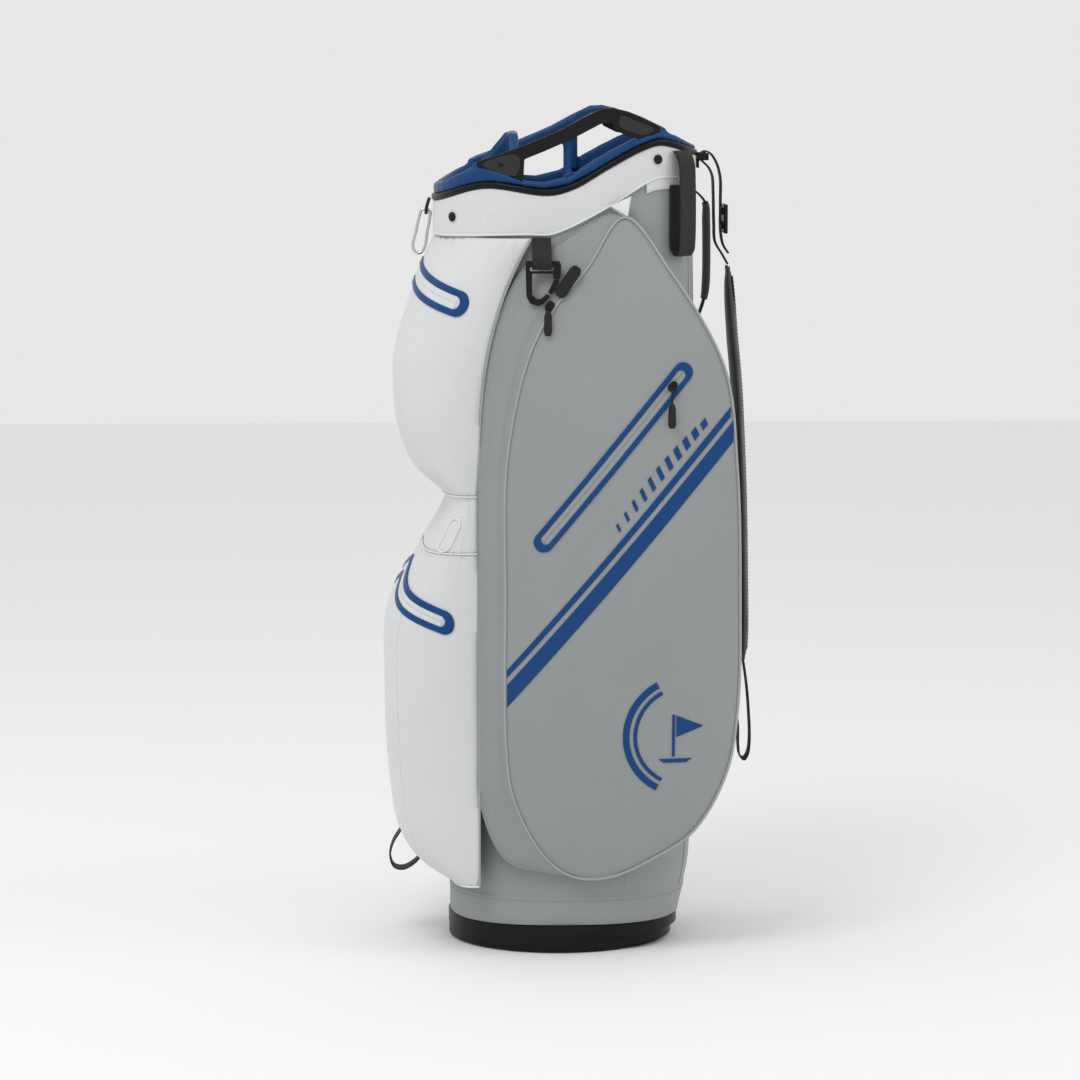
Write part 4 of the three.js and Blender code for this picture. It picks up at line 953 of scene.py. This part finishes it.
def gusset_rows():
    """From the panel's edge to the tube: each point goes straight from edge to landing, bowed out by
    a sine, and towards the front a flap over the zip stands up between two shares of the way."""
    rows = []
    for t in np.concatenate([[0.0], np.linspace(0.04, 0.96, 34), [1.0, 1.06]]):
        flap = 2.4 * facing_front * (1 / (1 + np.exp(-(t - 0.2) * 60)) - 1 / (1 + np.exp(-(t - 0.55) * 40)))
        fold = 1.2 * facing_front * np.exp(-(((t - 0.75) / 0.07) ** 2))
        bow = 3.0 * np.sin(np.pi * min(t, 1)) * (1 - 0.35 * facing_front)
        base = rim * (1 - t) + landing_points * t
        lift = (bow + flap + fold)[:, None]
        rows.append(base + lift * (np.array([0.55, 0, 0]) + 0.45 * inward))
    return np.stack(rows)


gusset_points = gusset_rows()


def inner_wall():
    """The pocket's inner face, drawn in from its landing: it lies on the tube where the tube is
    further out, and spans straight across to the landing behind the tube's rounded corner."""
    t = np.concatenate([[1.0], np.linspace(0.97, 0.02, 34)])[:, None, None]
    flat = PANEL_MIDDLE * (1 - t) + landing * t
    y, z = flat[..., 0], flat[..., 1]
    straight = landing_x(y)
    x = np.where(t[..., 0] == 1, straight, np.maximum(straight, across_tube(y, np.minimum(z, 735)) + 0.6))
    return np.stack([x, y, z], -1)


inner_points = inner_wall()

# The stripes, the tick marks and the pin-flag badge, as flat outlines of depth and height.
STRIPES = [
    [(-60.6, 309.5), (172.6, 582.9), (172.6, 572.6), (-60.6, 301.1)],
    [(-60.4, 293.8), (175.6, 568.4), (175.6, 546.7), (-60.4, 269.7)],
]


FILM, FILM_EDGE = 0.45, -0.6  # how high the film stands, and how deep its edges go


def film_patch(shell, corners, place, rows=90, cols=5):
    """Film in a four-cornered outline, a straight mean of its corners, dropping to the cloth all round."""
    a, b, c, d = (np.array(p, float) for p in corners)
    s = np.concatenate([[0], np.linspace(0, 1, rows), [1]])[:, None, None]
    t = np.concatenate([[0], np.linspace(0, 1, cols), [1]])[None, :, None]
    flat = (a * (1 - s) + b * s) * (1 - t) + (d * (1 - s) + c * s) * t
    height = np.full(flat.shape[:2], FILM)
    height[[0, -1]] = height[:, [0, -1]] = FILM_EDGE
    shell.grid(place(flat, height))


def tick_marks():
    """Eleven slanted bars in step along the stripe, longest in the middle."""
    along = np.array([0.648, 0.761])
    across = np.array([-along[1], along[0]])
    start = np.array([55.0, 456.0])
    marks = []
    for k in range(11):
        tall = 6 + 6.5 * math.sin(math.pi * (k + 0.5) / 11)
        low = start + along * (k * 13.6)
        wide, up = along * (3.2 + 0.5 * k), (across + along * 0.45) * tall
        marks.append([low, low + wide, low + wide + up, low + up])
    return marks


def badge_arcs(shell, place):
    """Two concentric arcs of film left of the pin flag."""
    turn = np.linspace(math.radians(118), math.radians(242), 60)
    for near, far in ((51, 55), (59, 66)):
        radii = np.array([near, near, (near + far) / 2, far, far])
        ring = np.stack([126 + radii * np.cos(turn[:, None]), 239 + radii * np.sin(turn[:, None])], -1)
        ring = np.concatenate([ring[:1], ring, ring[-1:]])
        height = np.tile([FILM_EDGE, FILM, FILM, FILM, FILM_EDGE], (len(turn) + 2, 1))
        height[[0, -1]] = FILM_EDGE
        shell.grid(place(ring, height))


def motif(shell, place):
    """The printed film: stripes, ticks, arcs, and a pin with its pennant over a small mound."""
    for stripe in STRIPES:
        film_patch(shell, stripe, place)
    for mark in tick_marks():
        film_patch(shell, mark, place, rows=6, cols=4)
    badge_arcs(shell, place)
    film_patch(shell, [(112, 217), (112, 262), (115, 262), (115, 217)], place, rows=12, cols=3)
    film_patch(shell, [(116.4, 261), (144, 249.5), (144, 248.5), (116.4, 238)], place, rows=12, cols=8)
    film_patch(shell, [(98, 214.6), (133, 214.6), (127, 210.4), (103, 210.4)], place, rows=12, cols=3)


CORNER = [(63, 779.5), (56, 784.2), (47.5, 790.5)]  # the piping up to the cuff, as depth and height
SIDE_ZIP_LOW, SIDE_ZIP_HIGH, SIDE_ZIP_HALF = np.array([-23.0, 445]), np.array([122.0, 620]), 10.3
zip_run = SIDE_ZIP_HIGH - SIDE_ZIP_LOW
zip_length = float(np.linalg.norm(zip_run))
zip_ahead = zip_run / zip_length
zip_across = np.array([-zip_ahead[1], zip_ahead[0]])


def along_zip(flat, height):
    """A point by its distance along the side zip and across it, on the panel."""
    return on_panel(SIDE_ZIP_LOW + flat[..., :1] * zip_ahead + flat[..., 1:] * zip_across, height)


for side, sign in (("right", 1), ("left", -1)):
    mirror = np.array([sign, 1, 1])
    panel = Shell().grid(panel_points * mirror, around=True, flat=panel_uv)
    panel.faces.append(list(range(len(panel_edge))))
    panel.flat.append(panel_flat[0] / 1000)
    panel.looks.append(0)
    panel.grid(gusset_points[:-1] * mirror, around=True, look=1)
    panel.grid(inner_points * mirror, around=True)
    panel.faces.append((np.arange(len(landing)) + panel.count - len(landing)).tolist())
    panel.flat.append(inner_points[-1, :, 1:] / 1000)
    panel.looks.append(0)
    panel.make(f"side_pocket_cloth_{side}", [grey_cloth, grey_textured], [f"side_pocket_{side}"])
    trim = Shell()
    rim_loop = np.concatenate([rim, rim[:1]]) * mirror
    piping(trim, rim_loop, (sign, 0, 0), 2.8, closed=True)
    landing_loop = np.concatenate([landing_points, landing_points[:1]]) * mirror + (0.4 * sign, 0, 0)
    piping(trim, landing_loop, (sign, 0, 0), 1.8, closed=True, look=1)
    corner = np.column_stack([np.linspace(123, 121.6, 12), smooth_path(CORNER, 12)])
    piping(trim, corner * mirror, (sign, 0, 0), 2.4)
    trim.make(f"side_pocket_piping_{side}", [piping_grey_painted_highlight, grey_cloth])
    film = Shell()
    motif(film, lambda f, h: on_panel(f, h + 0.35 + panel_swell(on_panel(f))) * mirror)
    film.make(f"side_stripes_{side}", [navy_film], open_edge=True, crease=40)

    def here(flat, height):
        return along_zip(flat, height + panel_swell(along_zip(flat, 0))) * mirror

    outer = stadium(0, zip_length, SIDE_ZIP_HALF)
    inner = stadium(3.4, zip_length - 3.4, SIDE_ZIP_HALF - 5.4)
    ring = Shell()
    welded_ring(ring, outer, inner, here, -0.8, 1.5)
    zip_lips(ring, 1, zip_length - 1, SIDE_ZIP_HALF - 5, here, -0.8, 0.7)
    ring.make(f"side_zip_ring_{side}", [navy_film, grey_cloth], [f"side_zip_{side}"], crease=50)

# White corner patches: a small triangle of white cloth where each side pocket meets the cuff.
patches = Shell()
for sign in (1, -1):
    a, b, c = np.array([123.0, 47.5, 790.5]), np.array([120.8, 69.5, 801]), np.array([124.6, 65.5, 779.5])
    s, t = np.linspace(0, 1, 14)[:, None, None], np.linspace(0, 1, 14)[None, :, None]
    points = (a * (1 - s) + b * s) * (1 - t) + c * t
    hollow = np.sin(np.pi * s) * np.sin(np.pi * t) * np.array([0.9, 0, 0])
    patches.grid((points + hollow) * (sign, 1, 1))
patch = patches.make("corner_patches", [white_smooth_painted_highlight], open_edge=True)
patch.modifiers.new("Wall", "SOLIDIFY").thickness = 0.001

# ------------------------------------------------------------
# Sliders, pulls and garages: moulded black sliders, each with a looped cord carrying a rubber
# tongue, and a rubber garage over the head of each covered zip.

soft_rubber = moulded(
    "soft_rubber", "soft_rubber", (0.012, 0.012, 0.013), (0.024, 0.024, 0.025), 0.48, 0.2, 700
)


def slider(run, side=""):
    """A zip's slider and its pull, each on its own body."""
    node, pull = f"{run}_slider{side}", f"{run}_pull{side}"
    softened(f"{run}_slider_shape{side}", node, black_plastic, 0.0004, 3, node)
    softened(f"{run}_tongue{side}", pull, soft_rubber, 0.0004, 2, pull)


for side in ("right", "left"):
    for run in ("side", "gusset"):
        slider(run, f"_{side}")
    softened(f"garage_{side}", f"zip_garage_{side}", soft_rubber, 0.0006, 8)
for run in ("upper", "lower"):
    slider(run)

# ------------------------------------------------------------
# Webbing: black polyester webbing, woven with close ribs across it and a tighter selvedge, cut
# into the clip's tab, the towel tab, the grab loop, the base loop and the strap's two ends.


def ribbed(name, low, high, pitch=1.5):
    """Webbing: ribs run across it as a sine of the distance along, broken by finer warp threads."""
    look = Look(name, "webbing", Specular_IOR_Level=0.2, Sheen_Weight=0.05, Sheen_Roughness=0.4)
    u, v = look.flat()
    ribs = (v * (2000 * math.pi / pitch)).sine()
    warp = (u * (2000 * math.pi / 0.9)).sine()
    height = ribs * 0.16 + warp * 0.07
    return look.finish(
        Base_Color=look.tint(ribs * 0.3 + 0.3 + look.noise(40, 3) * 0.4, low, high),
        Roughness=0.62 + (look.noise(25, 2) - 0.5) * 0.2,
        Normal=look.relief(height, 0.6),
    )


webbing = ribbed("black_webbing", (0.011, 0.011, 0.011), (0.026, 0.026, 0.026))


def strip(width, thick):
    """A webbing section: flat faces and soft selvedges."""
    return oval(width, thick, 5, 20)


def middle_path(pairs, count):
    """A smooth path in the bag's middle plane, through pairs of depth and height."""
    return smooth_path(np.insert(np.array(pairs, float), 0, 0, axis=1), count)


def ribbon(node, path, width, thick, side=(1, 0, 0), body="bag"):
    """A length of webbing in place of the solid of its name."""
    rod(Shell(), path, side, strip(width, thick)).make(f"{node}_webbing", [webbing], [node], body, crease=70)


black_thread = Look("black_thread", Base_Color=(0.03, 0.03, 0.031, 1), Roughness=0.6)
CLIP_Y, CLIP_X, BAR_Z = -24, 139.5, 731
TAB = [
    (119.6, 757.5), (122, 750), (CLIP_X - 4.8, BAR_Z + 5), (CLIP_X - 4.8, BAR_Z - 1.5),
    (CLIP_X - 2.4, BAR_Z - 4.1), (CLIP_X + 2.4, BAR_Z - 4.1), (CLIP_X + 4.8, BAR_Z - 1.5),
    (CLIP_X + 4, BAR_Z + 6), (126.4, 752), (123.3, 757.5),
]
tab_path = smooth_path([(x, CLIP_Y, z) for x, z in TAB], 90)
ribbon("clip_tab", tab_path, 20, 1.6, (0, 1, 0), "clip_tab")
softened("clip_hook_shape", "clip_hook", black_plastic, 0.0006, 4, "clip_hook")
softened("clip_gate_shape", "clip_gate", black_plastic, 0.0005, 3, "clip_gate")

# ------------------------------------------------------------
# Towel ring: bright bent wire closed into a long loop, hung from a small webbing tab under the
# front of the cuff.

RING_Y, RING_Z, RING_WIRE = -141.5, 783, 1.7
wire = Look("bright_wire", "steel_wire", Metallic=1.0)
smear = wire.noise(120, 3)
wire.finish(
    Base_Color=wire.tint(smear, (0.5, 0.51, 0.52), (0.68, 0.69, 0.7)),
    Roughness=0.16 + smear * 0.14,
    Normal=wire.relief(wire.noise(700, 2) * 0.04, 0.4),
)
down = np.array([0, -9, -44]) / math.hypot(9, 44)
wide = np.array([0, -down[2], down[1]])
LOOP = [(0, 0), (-4.6, 1.8), (-5.6, 9), (-6, 26), (-6.6, 38), (-4.6, 45), (0, 47.5)]
LOOP += [(-w, d) for w, d in LOOP[-2:0:-1]]
ring_points = [np.array([0, RING_Y, RING_Z]) - wide * w + down * d for w, d in LOOP]
ring_path_points = smooth_path(ring_points, 121, closed=True)
ring = piping(Shell(), ring_path_points, (1, 0, 0), RING_WIRE * 2, closed=True)
ring.make("towel_ring_wire", [wire], ["towel_ring"], "towel_ring")
TOWEL_TAB = [(-1.1, 3.6, 12), (-2.6, 2.2, 8), (-3.6, 0.3, 1), (-2.9, 0, -3.2), (0, 0, -5)]
TOWEL_TAB += [(-x, y, z) for x, y, z in TOWEL_TAB[-2::-1]]
towel_path = smooth_path([(x, RING_Y + y, RING_Z + z) for x, y, z in TOWEL_TAB], 70)
ribbon("towel_tab", towel_path, 3.4, 1.2, (0, 1, 0))

# ------------------------------------------------------------
# Grab loop: wide webbing sewn under the cuff at the back corner, for lifting the bag.

GRAB_X = 78
GRAB = [
    (5.6, 846), (9.5, 842), (13, 834), (14.5, 815), (14.5, 752), (13, 742), (8.6, 737.5), (4, 742),
    (2.2, 752), (1.9, 785), (1.9, 811),
]
back, front = float(tube_back(COLLAR)), float(tube_front(COLLAR))
b, middle, a = (back - front) / 2, (back + front) / 2, float(half_width(COLLAR))
rise = (1 - (GRAB_X / a) ** SQUARE) ** (1 / SQUARE)
away = np.array([(GRAB_X / a) ** (SQUARE - 1) / a, rise ** (SQUARE - 1) / b, 0])
away /= np.linalg.norm(away)
beside = np.array([-away[1], away[0], 0])
grab_base = np.array([GRAB_X, middle + b * rise, 0])
grab_path = smooth_path([grab_base + away * d + (0, 0, z) for d, z in GRAB], 110)
grab = rod(Shell(), grab_path, beside, strip(28, 2))
TACK_W = 22
for k in range(-3, 4):  # a bar tack: seven close rows of stitches across the webbing's end
    row = grab_base + away * 14.2 + (0, 0, 806 + 0.8 * k)
    row = row + np.outer(np.linspace(-0.5, 0.5, 5), beside * TACK_W)
    stitches(grab, row, np.tile(away, (5, 1)), TACK_W / 5.01, TACK_W / 5.2, 0.22, 1)
grab.make("grab_loop_webbing", [webbing, black_thread], ["grab_loop"], "grab_loop", crease=70)

# ------------------------------------------------------------
# Carry handle: webbing sewn to the spine at both ends, wrapped in a padded sleeve between.

CARRY = [
    (144.2, 802), (150, 797), (155.5, 789), (156.5, 770), (156.5, 705), (154.5, 688), (148.5, 670),
    (144.2, 663),
]
STRAP_W = 25
mesh_cloth = woven(
    "air_mesh", "padded_cloth", (0.018, 0.019, 0.02), (0.045, 0.047, 0.048), 3.0, 0.3, 0.8, 0.2, 0.3
)
carry_path = middle_path(CARRY, 90)
ribbon("carry_handle", carry_path, STRAP_W, 2)
sleeve_path = carry_path[10:74]
grow = np.sin(np.clip(np.linspace(0, 8, len(sleeve_path)), 0, np.pi / 2))
sleeve_section = oval(30, 8, 3.2, 28)[None] * (0.8 + 0.2 * (grow * grow[::-1])[:, None, None])
sleeve = rod(Shell(), sleeve_path, (1, 0, 0), sleeve_section)
sleeve = sleeve.make("carry_handle_sleeve", [mesh_cloth], crease=80)

# ------------------------------------------------------------
# Shoulder strap: webbing from a bracket under the cuff, through a three-bar buckle, to a long
# padded shoulder piece, and webbing from its foot to a bracket low on the spine.

for place in ("top", "low"):
    softened(f"strap_bracket_{place}", f"strap_anchor_{place}", black_plastic, 0.0007, 3)
STRAP_UPPER = [
    (180, 736), (174.5, 745), (172, 758), (171.6, 790), (171, 818), (166, 834), (160, 842), (154.7, 844),
    (150, 841.2), (149.4, 836.6), (152.4, 833), (158.5, 827), (162.6, 818), (163.8, 800), (164.6, 768),
    (166, 748), (174, 734), (179.3, 724.5),
]
ribbon("strap_upper", middle_path(STRAP_UPPER, 160), STRAP_W, 1.8, body="shoulder_strap")
softened("strap_buckle_shape", "strap_buckle", black_plastic, 0.0007, 4, "shoulder_strap")
STRAP_LOWER = [
    (198.4, 299), (202.5, 270), (205, 240), (206, 212), (204.2, 196), (200, 189.4), (195.5, 193),
    (193.6, 206), (193, 230), (187.5, 255), (175, 273), (163, 278.5), (155, 277), (149.4, 275.2),
    (146.5, 271), (147, 266.6), (151, 264.3), (157.5, 265.5),
]
ribbon("strap_lower", middle_path(STRAP_LOWER, 160), STRAP_W, 1.8, body="shoulder_strap")

# Shoulder pad: two faces of mesh cloth over foam, bound at the edges, with webbing sewn down its
# outer face. It swells between its seams, so its skin is blown up as cloth and then capped.
PAD = [(179.5, 722), (184.5, 650), (189, 600), (192.5, 535), (195, 471), (197, 380), (198.2, 300)]
pad_width = through((0, 26), (0.12, 50), (0.25, 58), (0.85, 58), (0.95, 46), (1, 26))
pad_depth = through((0, 5), (0.1, 8), (0.9, 8.5), (1, 5))
pad_path = middle_path(PAD, 120)
pad_share = np.linspace(0, 1, 120)


def blown(obj, voxel, pressure, cap):
    """Swells a padded piece: its skin is rebuilt evenly, blown up as cloth for twenty steps without
    gravity, and no point is left further than the cap from where it started."""
    skin = obj.modifiers.new("Skin", "REMESH")
    skin.mode, skin.voxel_size = "VOXEL", voxel
    bpy.context.view_layer.update()
    even = evaluated(obj)
    obj.modifiers.clear()
    obj.data = even
    start = np.zeros(len(even.vertices) * 3, np.float32)
    even.vertices.foreach_get("co", start)
    cloth = obj.modifiers.new("Cloth", "CLOTH")
    cloth.settings.use_pressure = True
    cloth.settings.uniform_pressure_force = pressure
    cloth.settings.effector_weights.gravity = 0
    cloth.settings.quality = 6
    for step in range(1, 21):
        bpy.context.scene.frame_set(step)
    moved = evaluated(obj)
    end = np.zeros(len(moved.vertices) * 3, np.float32)
    moved.vertices.foreach_get("co", end)
    obj.modifiers.clear()
    bpy.context.scene.frame_set(1)
    shift = (end - start).reshape(-1, 3)
    size = np.linalg.norm(shift, axis=-1, keepdims=True)
    shift *= np.minimum(1, cap / np.maximum(size, 1e-9))
    even.vertices.foreach_set("co", (start.reshape(-1, 3) + shift).ravel())
    even.update()


# Its seams stand a little inside the finished pad, each section an oval of that place's size.
pad_size = np.stack([pad_width(pad_share) * 0.97, pad_depth(pad_share) * 0.9], -1)
pad_piece = rod(Shell(), pad_path, (1, 0, 0), oval(1, 1, 2.6, 40) * pad_size[:, None])
pad_piece = pad_piece.make("shoulder_pad", [mesh_cloth], ["strap_pad"], "shoulder_strap", crease=180)
blown(pad_piece, 0.0045, 4, 0.0016)
rounder = pad_piece.modifiers.new("Round", "SUBSURF")
rounder.levels = rounder.render_levels = 1
pad_piece.data.materials.clear()
pad_piece.data.materials.append(mesh_cloth.material)
pad_piece.data.shade_smooth()
binding = ribbed("grey_binding", (0.045, 0.047, 0.047), (0.09, 0.093, 0.092), 1.3)
pad_trim = Shell()
for sign in (1, -1):
    piping(pad_trim, pad_path + np.outer(sign * pad_width(pad_share) * 0.5, (1, 0, 0)), (1, 0, 0), 3.2)
outer_face = unit(np.cross((1, 0, 0), np.gradient(pad_path, axis=0)))
over = (pad_path + outer_face * (pad_depth(pad_share) * 0.5 + 0.5)[:, None])[3:-3]
rod(pad_trim, over, (1, 0, 0), strip(STRAP_W, 1.8), look=1)
for off in (-10.5, 10.5):
    stitches(pad_trim, over + (off, 1, 0), np.tile([0, 1.0, 0], (len(over), 1)), 4, 2.8, 0.3, look=2)
pad_trim.make("shoulder_pad_trim", [binding, webbing, grey_thread], body="shoulder_strap")

# ------------------------------------------------------------
# Base loop: a loop of webbing sewn under the ball pocket, to hold the bag while it is loaded.

BASE = [
    (-171.4, 114.5), (-179.5, 101), (-182.8, 87), (-178.5, 74.8), (-168.5, 72.5), (-157, 78.5), (-149.2, 86.5),
]
ribbon("base_loop", middle_path(BASE, 70), STRAP_W, 2)

# ------------------------------------------------------------
# Studio: a plain pale floor, soft white surroundings, a broad key above the front and a fill.

pale = Look("pale_floor", Base_Color=(0.9, 0.9, 0.9, 1), Roughness=0.9)
floor_mesh = bpy.data.meshes.new("floor")
floor_mesh.from_pydata([(-6, -6, 0), (6, -6, 0), (6, 6, 0), (-6, 6, 0)], [], [(0, 1, 2, 3)])
floor_mesh.materials.append(pale.material)
floor = bpy.data.objects.new("floor", floor_mesh)
bpy.context.scene.collection.objects.link(floor)

world = bpy.data.worlds.new("studio")
world.use_nodes = True
world.node_tree.nodes["Background"].inputs["Color"].default_value = (1, 1, 1, 1)
world.node_tree.nodes["Background"].inputs["Strength"].default_value = 0.8
bpy.context.scene.world = world


def area_light(name, place, target, size, power_w):
    """A square soft light at a place, turned to a target, both in metres."""
    light = bpy.data.lights.new(name, "AREA")
    light.size, light.energy = size, power_w
    lamp = bpy.data.objects.new(name, light)
    lamp.location = place
    lamp.rotation_euler = (Vector(target) - Vector(place)).to_track_quat("-Z", "Y").to_euler()
    bpy.context.scene.collection.objects.link(lamp)


area_light("key", (1.6, -1.0, 2.8), (0, 0, 0.6), 1.2, 24)
area_light("front_fill", (-0.4, -2.4, 1.9), (0, 0, 0.7), 1.2, 4)
area_light("back_rim", (0.6, 2.2, 1.8), (0, 0, 0.6), 0.9, 8)

# The camera stands 4.35 m off the right-hand side, a little towards the front.
CAMERA_AT = Vector((4.3459, -0.1898, 0.957))
heading = math.radians(87.5 + 0.269)
pitch = math.radians(6.93)
camera_data = bpy.data.cameras.new("camera")
camera_data.lens, camera_data.sensor_width = 136.05, 36
camera_data.clip_end = 50
camera = bpy.data.objects.new("camera", camera_data)
camera.location = CAMERA_AT
gaze = Vector((-math.sin(heading) * math.cos(pitch), math.cos(heading) * math.cos(pitch), -math.sin(pitch)))
camera.rotation_euler = gaze.to_track_quat("-Z", "Y").to_euler()
bpy.context.scene.collection.objects.link(camera)
bpy.context.scene.camera = camera
bpy.context.scene.view_settings.view_transform = "Standard"
